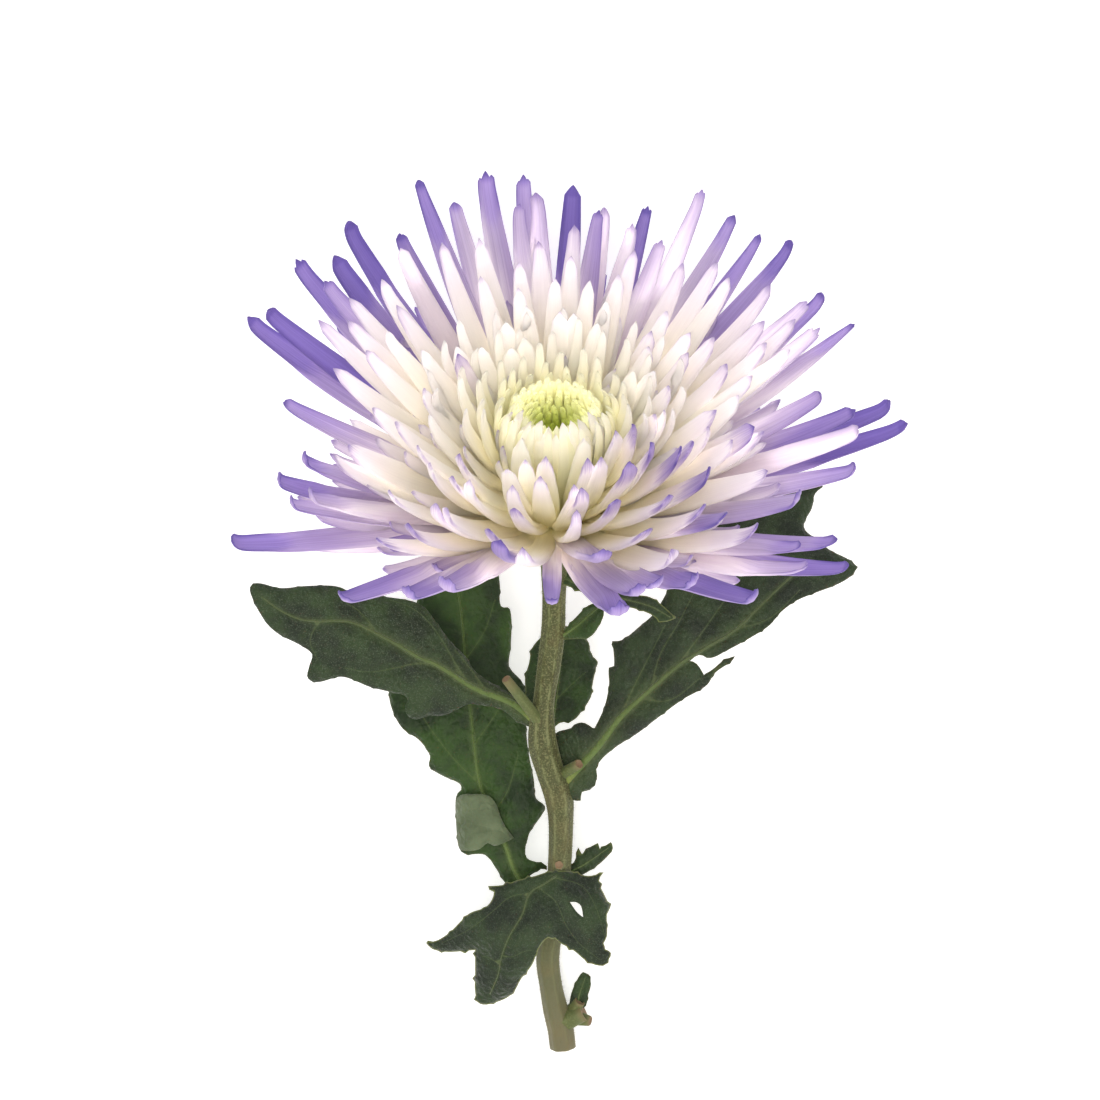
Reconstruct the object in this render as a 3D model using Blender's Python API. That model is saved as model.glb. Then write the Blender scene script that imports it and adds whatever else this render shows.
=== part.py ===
"""A cut spider chrysanthemum that lies on a table: its bloom leans back on the rear florets,
and its leafy stem comes down to its cut end. Metres, +Z up, +Y from the cut end to the bloom."""
import math

import bmesh
import bpy
from mathutils import Quaternion, Vector
from mathutils.geometry import delaunay_2d_cdt

MM = 0.001

# Driving dimensions of the flower
BLOOM_WIDTH = 140 * MM
BLOOM_HEIGHT = 50 * MM
BLOOM_TILT = math.radians(40)
BLOOM_LEAN = 0.02
CORE_RADIUS = 10.0 * MM
CORE_TOP_RADIUS = 8.2 * MM
CORE_TOP = 10.5 * MM
CORE_BOTTOM = -2.0 * MM
EYE_RADIUS = 7.2 * MM
EYE_DEPTH = 8.0 * MM
CUP_RADIUS = 9.2 * MM
CUP_DEPTH = 7.4 * MM
CUP_SCALES = 12
CUP_SCALE_HALF_WIDTHS = (1.5 * MM, 1.9 * MM, 0.5 * MM)
NECK_RADIUS = 2.7 * MM
BLADE_THICKNESS = 0.8 * MM
LEAF_THICKNESS = 0.8 * MM
CLEARANCE = 0.3 * MM

# A floret's root on the core, at the rim and at the eye: radius and axial place
RIM_ROOT = (7.2 * MM, -0.4 * MM)
EYE_ROOT = (7.9 * MM, 8.4 * MM)
ROOT_WIDTH = 2.0 * MM
# Half the turn of a floret about its own length, in radians, and how far it bows back, as a share of its length
FLORET_TWIST = 0.35
RIM_BOW = 0.09
INNER_BOW = 0.12
HIDDEN_BOW = 0.06
CROWN_BOW = 0.15
BOW_SCATTER = 0.03
# Where along a floret its sections lie
RIM_STATIONS = (0, 0.3, 0.6, 0.87, 1)
INNER_STATIONS = (0, 0.42, 0.84, 1)
CROWN_STATIONS = (0, 0.55, 1)

# The photograph looks straight down on the flower from this height above the table
LENS_HEIGHT = 1250 * MM
# Where the middle of the photograph lies in the flower's own frame
VIEW_X = -5.0 * MM
VIEW_Y = 13.2 * MM
# Pixels of the photograph
VIEW_CENTRE_PX = 550
BLOOM_WIDTH_PX = 683
BLOOM_CENTRE_PX = (553, 503)

# How far from the receptacle a floret's tip is, in millimetres, by its rise above the bloom's plane, in degrees
REACH_BY_RISE = ((-10, 74), (10, 76.5), (20, 75), (30, 64), (40, 52), (55, 38), (70, 28), (80, 25), (90, 24))
STEEPEST_RISE = math.radians(67)

# Tips of the outer florets in the photograph: across, down and the floret's width, in pixels
RIM_TIPS = (
    (232, 543, 22), (341, 600, 14), (405, 595, 16), (443, 587, 24), (275, 478, 18), (300, 459, 14),
    (308, 496, 18), (288, 503, 12), (281, 402, 16), (243, 318, 20), (262, 308, 20), (293, 260, 22),
    (331, 256, 26), (322, 281, 18), (342, 221, 20), (397, 231, 14), (399, 248, 16), (418, 181, 11),
    (454, 202, 18), (483, 172, 26), (522, 176, 20), (517, 203, 14), (538, 194, 17), (573, 186, 24),
    (598, 210, 12), (606, 207, 14), (648, 206, 12), (634, 224, 12), (662, 239, 14), (704, 191, 20),
    (735, 216, 16), (761, 235, 24), (796, 241, 22), (829, 294, 12), (809, 302, 14), (821, 328, 20),
    (855, 324, 14), (830, 391, 16), (900, 404, 14), (911, 426, 13), (858, 410, 20), (857, 431, 22),
    (857, 470, 14), (801, 498, 28), (832, 541, 16), (845, 567, 14), (797, 547, 12), (802, 567, 20),
    (757, 599, 20), (697, 581, 20), (660, 583, 16), (640, 592, 16), (621, 612, 20), (552, 603, 18),
    (603, 556, 24),
)

# Tips of the florets inside them, across and down, in pixels
INNER_TIPS = (
    (349, 298), (346, 320), (363, 350), (421, 350), (457, 353), (419, 388), (371, 408), (394, 422),
    (344, 445), (328, 458), (414, 447), (425, 465), (456, 456), (449, 479), (464, 486), (384, 494),
    (430, 510), (440, 513), (404, 528), (375, 541), (318, 320), (333, 368), (377, 280), (396, 305),
    (382, 330), (440, 242), (478, 238), (480, 276), (455, 345), (480, 345), (505, 320), (510, 345),
    (518, 262), (518, 287), (526, 305), (524, 335), (540, 240), (555, 278), (560, 310), (575, 225),
    (572, 255), (575, 312), (590, 280), (598, 320), (607, 300), (621, 272), (635, 250),
    (685, 262), (718, 262), (731, 278), (668, 310), (691, 332), (653, 330), (652, 345), (717, 337),
    (766, 320), (773, 285), (798, 320), (792, 350), (770, 343), (732, 363), (690, 352), (673, 385),
    (655, 370), (635, 370), (745, 395), (755, 375),
    (658, 413), (668, 410), (636, 424), (657, 444), (633, 466), (695, 442), (683, 448), (718, 410),
    (715, 428), (738, 440), (757, 427), (766, 432), (715, 470), (672, 498), (707, 508), (728, 516),
    (771, 472), (617, 500), (650, 530), (680, 558), (763, 530),
    (511, 490), (514, 509), (545, 458), (525, 460), (540, 480), (507, 470), (590, 462), (603, 459),
    (584, 494), (576, 490), (578, 518), (520, 440), (585, 440), (618, 432), (585, 420), (595, 420),
    (488, 530), (497, 547), (522, 557),
)
INNER_WIDTH_PX = 21

# Whorls that the photograph hides: first and last azimuth and rise in degrees, reach in millimetres, florets
HIDDEN_WHORLS = (
    (228, 312, 3, 7, 69, 6),
    (25, 155, 15, 19, 47, 8),
)
HIDDEN_WIDTH = 4.6 * MM

# The rear florets that the bloom rests on: first and last azimuth in degrees, and florets
RESTING_WHORL = (240, 300, 7)
RESTING_RADIUS = 72 * MM
# How far below the table their tips would be if they didn't bend to lie on it
RESTING_SINK = 9 * MM

# Whorls of short florets that curl in round the eye: rise in degrees, reach and width in millimetres, florets
CROWN_WHORLS = (
    (65, 30.5, 3.8, 17),
    (56, 35.5, 4.2, 19),
)

# Rings of young florets in the eye: radius at root, belly and tip, height of the tip (millimetres), and florets
EYE_RINGS = (
    (6.2, 9.0, 7.8, 25.4, 16),
    (4.9, 7.2, 6.0, 25.6, 13),
    (3.5, 5.3, 4.1, 24.8, 9),
    (2.0, 3.4, 2.3, 23.8, 6),
    (0.6, 1.0, 0.6, 22.8, 2),
)
BUD_HALF_WIDTH = 1.25 * MM

# The stem's middle line: across and down in pixels, its height and its radius in millimetres
STEM_LINE = (
    (554, 575, 37.5, 2.6), (554, 600, 34.5, 2.4), (553, 632, 31.5, 2.45), (549, 665, 29, 2.4),
    (544, 700, 27, 2.2), (542, 722, 26, 2.6), (543, 745, 24.6, 3.0), (550, 770, 22.4, 2.9),
    (559, 797, 20, 2.95), (561, 820, 18, 2.6), (560, 860, 15, 2.45), (557, 900, 12, 2.4),
    (551, 935, 9.5, 2.35), (548, 960, 7.8, 2.45), (551, 985, 6.2, 2.4), (556, 1010, 4.6, 2.65),
    (561, 1030, 3.4, 2.75), (563, 1047, 2.5, 2.77),
)
STEM_SIDES = 10

# Cut side shoots on the stem: root and end, each across, down and height, then the two radii in millimetres
STUBS = (
    ((540, 722, 27.0), (506, 679, 34.0), 1.3, 1.0),
    ((560, 772, 24.0), (581, 762, 28.5), 1.4, 1.1),
    ((560, 866, 14.5), (559, 864, 18.2), 1.5, 1.1),
    ((561, 1022, 4.2), (583, 1012, 5.5), 2.3, 2.0),
)

# Leaf outlines in the photograph, across and down, in pixels
LEFT_LEAF = (
    (536, 729), (517, 722), (508, 714), (498, 708), (485, 706), (470, 704), (458, 709), (445, 715),
    (430, 716), (413, 719), (405, 711), (407, 698), (390, 692), (370, 687), (348, 678), (338, 677),
    (320, 682), (311, 681), (307, 676), (311, 661), (312, 654), (300, 645), (280, 635), (268, 625),
    (258, 610), (253, 600), (250, 587), (258, 583), (280, 588), (305, 586), (335, 586), (352, 592),
    (380, 596), (412, 601), (425, 608), (436, 622), (452, 643), (466, 657), (474, 670), (487, 680),
    (505, 690), (520, 702), (538, 715),
)
BACK_LEAF = (
    (551, 900), (546, 896), (533, 887), (528, 879), (534, 873), (541, 869), (547, 870), (547, 866),
    (541, 863), (533, 861), (527, 858), (525, 850), (527, 842), (530, 832), (537, 822), (543, 813),
    (545, 806), (536, 798), (534, 780), (530, 760), (527, 740), (526, 715), (527, 695), (521, 680),
    (515, 674), (509, 666), (511, 645), (510, 609), (501, 606), (500, 585), (496, 560), (484, 535),
    (466, 515), (449, 510), (436, 524), (428, 545), (423, 562), (419, 590), (412, 620), (400, 650),
    (391, 675), (389, 695), (393, 712), (403, 729), (419, 740), (430, 756), (429, 766), (441, 775),
    (460, 784), (461, 790), (456, 797), (456, 820), (459, 848), (465, 854), (485, 855), (495, 867),
    (505, 883), (515, 894), (530, 904), (548, 912),
)
RIGHT_LEAF = (
    (563, 790), (573, 800), (580, 800), (582, 792), (590, 790), (597, 779), (597, 766), (612, 750),
    (638, 733), (655, 720), (682, 700), (700, 690), (708, 684), (715, 673), (732, 661), (735, 656),
    (724, 660), (713, 669), (704, 675), (697, 664), (690, 661), (699, 655), (711, 658), (726, 651),
    (750, 638), (770, 625), (780, 613), (796, 601), (815, 593), (836, 585), (850, 577), (858, 567),
    (848, 559), (830, 550), (818, 540), (804, 527), (812, 508), (815, 494), (823, 487), (806, 480),
    (786, 484), (768, 500), (748, 512), (738, 504), (722, 508), (708, 530), (692, 548), (676, 575),
    (655, 612), (640, 626), (622, 640), (612, 641), (614, 666), (609, 668), (609, 685), (604, 708),
    (594, 729), (585, 723), (578, 723), (571, 728), (556, 733), (552, 745),
)
REAR_LEAF = (
    (549, 731), (560, 723), (572, 721), (579, 715), (591, 697), (592, 688), (596, 668), (598, 662),
    (591, 654), (589, 643), (580, 632), (566, 626), (552, 627), (541, 637), (532, 648), (529, 663),
    (525, 678), (527, 698), (534, 714), (541, 727),
)
LOWER_LEAF = (
    (548, 872), (535, 876), (518, 880), (503, 885), (488, 886), (494, 892), (487, 906), (470, 913),
    (462, 920), (450, 932), (438, 940), (426, 943), (432, 949), (448, 952), (475, 950), (475, 975),
    (475, 992), (480, 1004), (500, 1001), (513, 993), (521, 979), (532, 965), (538, 950), (545, 940),
    (552, 937), (560, 943), (573, 950), (588, 962), (603, 966), (607, 962), (611, 953), (603, 947),
    (607, 936), (607, 914), (610, 908), (606, 898), (599, 881), (604, 872), (588, 876), (570, 871),
)
SIDE_LEAF = (
    (563, 870), (574, 862), (578, 847), (582, 854), (590, 847), (598, 843), (600, 849), (611, 842),
    (613, 848), (606, 858), (594, 868), (580, 876), (568, 880),
)
UPPER_BRACT = (
    (557, 640), (566, 628), (577, 616), (589, 605), (599, 604), (604, 612), (600, 624), (590, 637), (575, 639),
)
OUTER_BRACT = (
    (556, 566), (574, 572), (600, 586), (620, 592), (637, 595), (650, 597), (662, 605), (676, 618),
    (663, 622), (650, 614), (636, 609), (618, 605), (596, 598), (572, 588), (557, 580),
)
# How far the waves of a leaf's two margins are out of step, in radians
WAVE_OFFSET = 1.3
SPROUT_LEAF = (
    (571, 1008), (575, 993), (580, 978), (584, 973), (588, 976), (590, 984), (588, 995), (584, 1008),
)


def middle_value(low, high, share):
    """The value at a share of the way between two values."""
    return low + (high - low) * share


def read_curve(points, place):
    """The value of a curve of straight runs at a place along it."""
    for (start, low), (end, high) in zip(points, points[1:]):
        if place <= end:
            return middle_value(low, high, max(0.0, (place - start) / (end - start)))
    return points[-1][1]


def ease(share):
    """A share from 0 to 1, with a soft start and end."""
    share = min(1.0, max(0.0, share))
    return share * share * (3 - 2 * share)


def scatter(index, channel):
    """A fixed scatter from -1 to 1 for each floret and each of its traits."""
    wave = math.sin(index * 12.9898 + channel * 78.233) * 43758.5453
    return 2 * (wave - math.floor(wave)) - 1


def pixel_size(height):
    """The real size of one pixel of the photograph at a height above the table."""
    return BLOOM_WIDTH / BLOOM_WIDTH_PX * (LENS_HEIGHT - height) / (LENS_HEIGHT - BLOOM_HEIGHT)


def spot(across, down, height):
    """The point that a pixel of the photograph shows at a height above the table."""
    size = pixel_size(height)
    return Vector((VIEW_X + (across - VIEW_CENTRE_PX) * size, VIEW_Y - (down - VIEW_CENTRE_PX) * size, height))


# The bloom's own axes: along its axis, to the side, and round to the front
AXIS = Vector((BLOOM_LEAN, math.cos(BLOOM_TILT), math.sin(BLOOM_TILT))).normalized()
FRONT = Vector((1, 0, 0)).cross(AXIS).normalized()
SIDE = AXIS.cross(FRONT)
CENTRE = spot(*BLOOM_CENTRE_PX, BLOOM_HEIGHT)


def outward(azimuth):
    """The direction away from the bloom's axis, in its plane."""
    return SIDE * math.cos(azimuth) + FRONT * math.sin(azimuth)


def bloom_point(radius, azimuth, axial):
    """A point in the bloom's own round coordinates."""
    return CENTRE + outward(azimuth) * radius + AXIS * axial


def reach(rise):
    """How far from the receptacle a floret's tip is at a rise above the bloom's plane."""
    return read_curve(REACH_BY_RISE, math.degrees(rise)) * MM


def rise_of(point):
    """A point's rise above the bloom's plane, seen from the receptacle."""
    away = point - CENTRE
    axial = away.dot(AXIS)
    return math.atan2(axial, (away - AXIS * axial).length)


def tip_place(across, down):
    """Where the line of sight through a pixel meets the round surface of the floret tips."""
    best, least = None, None
    for step in range(130, 1, -1):
        point = spot(across, down, step * MM)
        miss = (point - CENTRE).length - reach(rise_of(point))
        if least is None or miss < least:
            best, least = point, miss
        if miss <= 0:
            break
    return best


def resting_tip(azimuth):
    """A tip below the table, whose floret comes to lie on the table."""
    level = CENTRE + outward(azimuth) * RESTING_RADIUS
    return level - AXIS * ((level.z + RESTING_SINK) / AXIS.z)


def floret_line(tip, bow):
    """Root, bend and tip of a floret, and the direction that its back faces."""
    away = tip - CENTRE
    axial = away.dot(AXIS)
    flat = away - AXIS * axial
    azimuth = math.atan2(flat.dot(FRONT), flat.dot(SIDE))
    rise = min(math.atan2(axial, flat.length), STEEPEST_RISE)
    if rise == STEEPEST_RISE:
        tip = CENTRE + (outward(azimuth) * math.cos(rise) + AXIS * math.sin(rise)) * away.length
    level = ease(rise / STEEPEST_RISE)
    root_radius = middle_value(RIM_ROOT[0], EYE_ROOT[0], level)
    root = bloom_point(root_radius, azimuth, middle_value(RIM_ROOT[1], EYE_ROOT[1], level))
    chord = tip - root
    back = (outward(azimuth) * chord.dot(AXIS) - AXIS * chord.dot(outward(azimuth))).normalized()
    bend = root + chord * 0.5 + back * chord.length * bow
    return root, bend, tip, back


def line_point(root, bend, tip, share):
    """A point of the curve from root to tip."""
    return root * (1 - share) ** 2 + bend * 2 * share * (1 - share) + tip * share ** 2


def line_heading(root, bend, tip, share):
    """The direction of that curve."""
    return ((bend - root) * (1 - share) + (tip - bend) * share).normalized()


def floret_width(share, full):
    """A floret's width along its length: a narrow tube first, then a long blade with a blunt end."""
    opened = middle_value(ROOT_WIDTH, full, ease((share - 0.05) / 0.6))
    return opened * (1 - 0.42 * ease((share - 0.86) / 0.14))


def floret_mesh(index, tip, width, stations, bow):
    """A channelled floret of four-cornered sections, flat below where it lies on the table."""
    root, bend, tip, back = floret_line(tip, bow)
    twist = FLORET_TWIST * scatter(index, 1)
    rings = []
    for share in stations:
        middle = line_point(root, bend, tip, share)
        heading = line_heading(root, bend, tip, share)
        face = (heading * back.dot(heading) - back).normalized()
        across = heading.cross(face)
        turned_by = Quaternion(heading, twist * ease(share))
        face.rotate(turned_by)
        across.rotate(turned_by)
        half = floret_width(share, width) / 2
        lift = half * 0.45 * ease(share / 0.6)
        inside = middle_value(half * 0.7, 0.1 * half, ease(share / 0.7))
        ring = [
            middle + across * half + face * lift,
            middle + face * inside,
            middle - across * half + face * lift,
            middle + face * (inside - max(BLADE_THICKNESS, inside + half * 0.35)),
        ]
        for corner, floor in zip(ring, (0.0, BLADE_THICKNESS, 0.0, 0.0)):
            corner.z = max(corner.z, floor)
        rings.append(ring)
    return loft(rings)


def loft(rings):
    """Vertices and faces of a closed skin over rings of the same number of points."""
    sides = len(rings[0])
    points = [point for ring in rings for point in ring]
    faces = [tuple(range(sides))[::-1]]
    for level in range(len(rings) - 1):
        for side in range(sides):
            near, far = level * sides + side, level * sides + (side + 1) % sides
            faces.append((near, far, far + sides, near + sides))
    last = (len(rings) - 1) * sides
    faces.append(tuple(range(last, last + sides)))
    return points, faces


def make_object(name, points, faces, material):
    """An object from points and faces, in triangles, with its faces pointing out."""
    mesh = bpy.data.meshes.new(name)
    mesh.from_pydata([tuple(point) for point in points], [], faces)
    shape = bmesh.new()
    shape.from_mesh(mesh)
    bmesh.ops.triangulate(shape, faces=shape.faces)
    if shape.calc_volume(signed=True) < 0:
        bmesh.ops.reverse_faces(shape, faces=shape.faces)
    shape.to_mesh(mesh)
    shape.free()
    mesh.materials.append(material)
    piece = bpy.data.objects.new(name, mesh)
    bpy.context.scene.collection.objects.link(piece)
    return piece


def combine(first, others, operation, solver):
    """Join the other objects to the first, or cut them out of it, and apply the result."""
    group = bpy.data.collections.new(first.name + "_others")
    bpy.context.scene.collection.children.link(group)
    for other in others:
        bpy.context.scene.collection.objects.unlink(other)
        group.objects.link(other)
    modifier = first.modifiers.new("join", "BOOLEAN")
    modifier.operation = operation
    modifier.solver = solver
    modifier.operand_type = "COLLECTION"
    modifier.collection = group
    joined = bpy.data.meshes.new_from_object(first.evaluated_get(bpy.context.evaluated_depsgraph_get()))
    first.modifiers.clear()
    first.data = joined
    for other in others:
        group.objects.unlink(other)
        bpy.context.scene.collection.objects.link(other)
    bpy.data.collections.remove(group)


def discard(pieces):
    """Remove objects that have done their work."""
    for piece in pieces:
        bpy.data.objects.remove(piece)


def largest_shell(piece):
    """Keep an object's one large shell: no sealed hollow inside it, no loose scrap beside it."""
    shape = bmesh.new()
    shape.from_mesh(piece.data)
    bmesh.ops.remove_doubles(shape, verts=shape.verts, dist=2e-6)
    bmesh.ops.dissolve_degenerate(shape, edges=shape.edges, dist=2e-6)
    bmesh.ops.triangulate(shape, faces=shape.faces)
    unseen = set(shape.faces)
    shells = []
    while unseen:
        shell, waiting = [], [unseen.pop()]
        while waiting:
            face = waiting.pop()
            shell.append(face)
            for edge in face.edges:
                for other in edge.link_faces:
                    if other in unseen:
                        unseen.remove(other)
                        waiting.append(other)
        shells.append(shell)
    shells.sort(key=len)
    for shell in shells[:-1]:
        bmesh.ops.delete(shape, geom=shell, context="FACES")
    shape.to_mesh(piece.data)
    shape.free()


def make_material(name, colour, roughness):
    """A plain finish in a part's own colour."""
    material = bpy.data.materials.new(name)
    material.use_nodes = True
    shader = material.node_tree.nodes["Principled BSDF"]
    shader.inputs["Base Color"].default_value = (*colour, 1)
    shader.inputs["Roughness"].default_value = roughness
    shader.inputs["Metallic"].default_value = 0
    return material


def turned(name, profile, sides, material):
    """A round solid on the bloom's axis, from radius and axial place pairs."""
    rings = []
    for radius, axial in profile:
        rings.append([bloom_point(radius, 2 * math.pi * side / sides, axial) for side in range(sides)])
    return make_object(name, *loft(rings), material)


def make_core(material):
    """The solid heart of the bloom that its florets stand out of."""
    profile = (
        (CORE_RADIUS * 0.9, CORE_BOTTOM),
        (CORE_RADIUS, 0.0),
        (CORE_RADIUS, CORE_TOP * 0.6),
        (CORE_TOP_RADIUS, CORE_TOP),
    )
    return turned("bloom", profile, 16, material)


def floret_plans():
    """Every long floret of the bloom: its tip, width, stations and bow."""
    plans = []
    for across, down, width in RIM_TIPS:
        tip = tip_place(across, down)
        bow = RIM_BOW + BOW_SCATTER * scatter(len(plans), 2)
        plans.append((tip, width * pixel_size(tip.z), RIM_STATIONS, bow))
    for across, down in INNER_TIPS:
        tip = tip_place(across, down)
        bow = INNER_BOW + BOW_SCATTER * scatter(len(plans), 2)
        width = INNER_WIDTH_PX * pixel_size(tip.z) * (1 + 0.12 * scatter(len(plans), 3))
        plans.append((tip, width, INNER_STATIONS, bow))
    for first, last, low, high, length, count in HIDDEN_WHORLS:
        for place in range(count):
            azimuth = math.radians(middle_value(first, last, place / (count - 1)))
            rise = math.radians(middle_value(low, high, 0.5 + 0.5 * scatter(len(plans), 4)))
            distance = length * MM * (1 + 0.04 * scatter(len(plans), 5))
            tip = bloom_point(distance * math.cos(rise), azimuth, distance * math.sin(rise))
            plans.append((tip, HIDDEN_WIDTH, RIM_STATIONS, HIDDEN_BOW))
    first, last, count = RESTING_WHORL
    for place in range(count):
        tip = resting_tip(math.radians(middle_value(first, last, place / (count - 1))))
        plans.append((tip, HIDDEN_WIDTH, RIM_STATIONS, HIDDEN_BOW))
    for rise, length, width, count in CROWN_WHORLS:
        for place in range(count):
            azimuth = 2 * math.pi * (place + 0.15 * scatter(len(plans), 4)) / count
            steepness = math.radians(rise + 1.5 * scatter(len(plans), 5))
            tip = bloom_point(length * MM * math.cos(steepness), azimuth, length * MM * math.sin(steepness))
            plans.append((tip, width * MM, CROWN_STATIONS, CROWN_BOW))
    return plans


def make_bloom(material):
    """All long florets, fused to the core."""
    core = make_core(material)
    florets = []
    for index, (tip, width, stations, bow) in enumerate(floret_plans()):
        florets.append(make_object("floret", *floret_mesh(index, tip, width, stations, bow), material))
    combine(core, florets, "UNION", "MANIFOLD")
    discard(florets)
    largest_shell(core)


def make_eye(material):
    """The young green florets in the middle, fused to their own small dome."""
    base = CORE_TOP + CLEARANCE
    profile = (
        (EYE_RADIUS * 0.92, base),
        (EYE_RADIUS, base + EYE_DEPTH * 0.25),
        (EYE_RADIUS * 0.85, base + EYE_DEPTH * 0.7),
        (EYE_RADIUS * 0.3, base + EYE_DEPTH),
    )
    dome = turned("bloom_eye", profile, 12, material)
    buds = []
    for root_radius, belly_radius, tip_radius, top, count in EYE_RINGS:
        for place in range(count):
            index = len(buds)
            azimuth = 2 * math.pi * (place + 0.1 * root_radius) / count + 0.1 * scatter(index, 6)
            height = top * MM * (1 + 0.02 * scatter(index, 7))
            bend_radius = 2 * belly_radius - (root_radius + tip_radius) / 2
            root = bloom_point(root_radius * MM, azimuth, base + EYE_DEPTH * 0.15)
            bend = bloom_point(bend_radius * MM, azimuth, (base + height) * 0.53)
            tip = bloom_point(tip_radius * MM, azimuth, height)
            buds.append(make_object("bud", *bud_mesh(root, bend, tip, azimuth), material))
    combine(dome, buds, "UNION", "MANIFOLD")
    discard(buds)
    largest_shell(dome)


def bud_mesh(root, bend, tip, azimuth):
    """A short young floret that curls in over the middle."""
    rings = []
    for share, widening in ((0, 0.7), (0.6, 1.0), (1, 0.5)):
        middle = line_point(root, bend, tip, share)
        heading = line_heading(root, bend, tip, share)
        across = heading.cross(outward(azimuth)).normalized()
        face = across.cross(heading)
        half = BUD_HALF_WIDTH * widening
        rings.append([
            middle + across * half,
            middle + face * half * 0.3,
            middle - across * half,
            middle - face * max(BLADE_THICKNESS * 0.8, half * 0.5),
        ])
    return loft(rings)


def stem_points():
    """The stem's middle line and radii, from the cup under the bloom to the cut end."""
    line = [(CENTRE + AXIS * (CORE_BOTTOM - CUP_DEPTH), NECK_RADIUS)]
    for across, down, height, radius in STEM_LINE:
        line.append((spot(across, down, height * MM), radius * MM))
    return line


def tube_mesh(line, extra, sides, floor):
    """A tube along a line of points and radii, with its rings square to it."""
    rings = []
    for place, (point, radius) in enumerate(line):
        before = line[max(place - 1, 0)][0]
        after = line[min(place + 1, len(line) - 1)][0]
        heading = (after - before).normalized()
        across = heading.cross(Vector((0, 0, 1)))
        if across.length < 0.1:
            across = heading.cross(Vector((1, 0, 0)))
        across.normalize()
        up = across.cross(heading)
        ring = []
        for side in range(sides):
            angle = 2 * math.pi * (side + 0.5) / sides
            corner = point + (across * math.cos(angle) + up * math.sin(angle)) * (radius + extra)
            corner.z = max(corner.z, floor)
            ring.append(corner)
        rings.append(ring)
    return loft(rings)


def stem_solids(extra, floor, material):
    """The stem's tube and its cut side shoots, grown outwards by an extra thickness."""
    line = stem_points()
    if extra:
        ahead = (line[-1][0] - line[-2][0]).normalized()
        line.append((line[-1][0] + ahead * extra, line[-1][1]))
    solids = [make_object("stem", *tube_mesh(line, extra, STEM_SIDES, floor), material)]
    for root, end, root_radius, end_radius in STUBS:
        stub_line = (
            (spot(root[0], root[1], root[2] * MM), root_radius * MM),
            (spot(end[0], end[1], end[2] * MM), end_radius * MM),
        )
        solids.append(make_object("stub", *tube_mesh(stub_line, extra, 7, floor), material))
    return solids


def make_cup(material):
    """The green cup under the bloom, with its whorl of scales."""
    top = CORE_BOTTOM - CLEARANCE
    profile = (
        (CUP_RADIUS * 0.94, top),
        (CUP_RADIUS, top - CUP_DEPTH * 0.2),
        (CUP_RADIUS * 0.8, top - CUP_DEPTH * 0.6),
        (CUP_RADIUS * 0.42, top - CUP_DEPTH * 0.95),
        (NECK_RADIUS * 0.9, top - CUP_DEPTH * 1.25),
    )
    solids = [turned("cup", profile, 14, material)]
    for place in range(CUP_SCALES):
        azimuth = 2 * math.pi * place / CUP_SCALES + 0.1 * scatter(place, 8)
        sideways = AXIS.cross(outward(azimuth))
        outside = (outward(azimuth) - AXIS).normalized() * BLADE_THICKNESS * 0.6
        middles = (
            bloom_point(CUP_RADIUS * 0.61, azimuth, top - CUP_DEPTH * 0.84),
            bloom_point(CUP_RADIUS * 0.91, azimuth, top - CUP_DEPTH * 0.5),
            bloom_point(CUP_RADIUS * 1.15, azimuth, top - CUP_DEPTH * 0.12),
        )
        rings = []
        for middle, half in zip(middles, CUP_SCALE_HALF_WIDTHS):
            aside = sideways * half
            rings.append([middle + aside, middle + outside, middle - aside, middle - outside])
        solids.append(make_object("scale", *loft(rings), material))
    return solids


def make_stem(material):
    """The stem with its stubs and the cup under the bloom, as one body."""
    solids = stem_solids(0.0, 0.0, material)
    others = solids[1:] + make_cup(material)
    combine(solids[0], others, "UNION", "MANIFOLD")
    discard(others)
    largest_shell(solids[0])


def leaf_height(base, tip, base_height, tip_height, arch, fold, wave, waves):
    """The height of a leaf over the table, as a function of the pixel that shows it."""
    along = Vector((tip[0] - base[0], tip[1] - base[1]))
    length = along.length
    along.normalize()

    def height(across, down):
        share = ((across - base[0]) * along.x + (down - base[1]) * along.y) / length
        aside = ((down - base[1]) * along.x - (across - base[0]) * along.y) / length
        inner = min(1.0, max(0.0, share))
        rib = middle_value(base_height, tip_height, share) + arch * 4 * inner * (1 - inner)
        phase = 2 * math.pi * waves * share + (WAVE_OFFSET if aside > 0 else 0)
        ripple = wave * math.sin(phase) * min(1.0, abs(aside) * 5)
        return (rib + fold * abs(aside) + ripple) * MM

    return height


def inside_outline(across, down, outline):
    """Whether a pixel lies inside an outline."""
    inside = False
    for (x0, y0), (x1, y1) in zip(outline, outline[1:] + outline[:1]):
        if (y0 > down) != (y1 > down) and across < (x1 - x0) * (down - y0) / (y1 - y0) + x0:
            inside = not inside
    return inside


def edge_distance(across, down, outline):
    """How near a pixel is to an outline's nearest corner."""
    return min(math.hypot(across - x, down - y) for x, y in outline)


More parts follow.
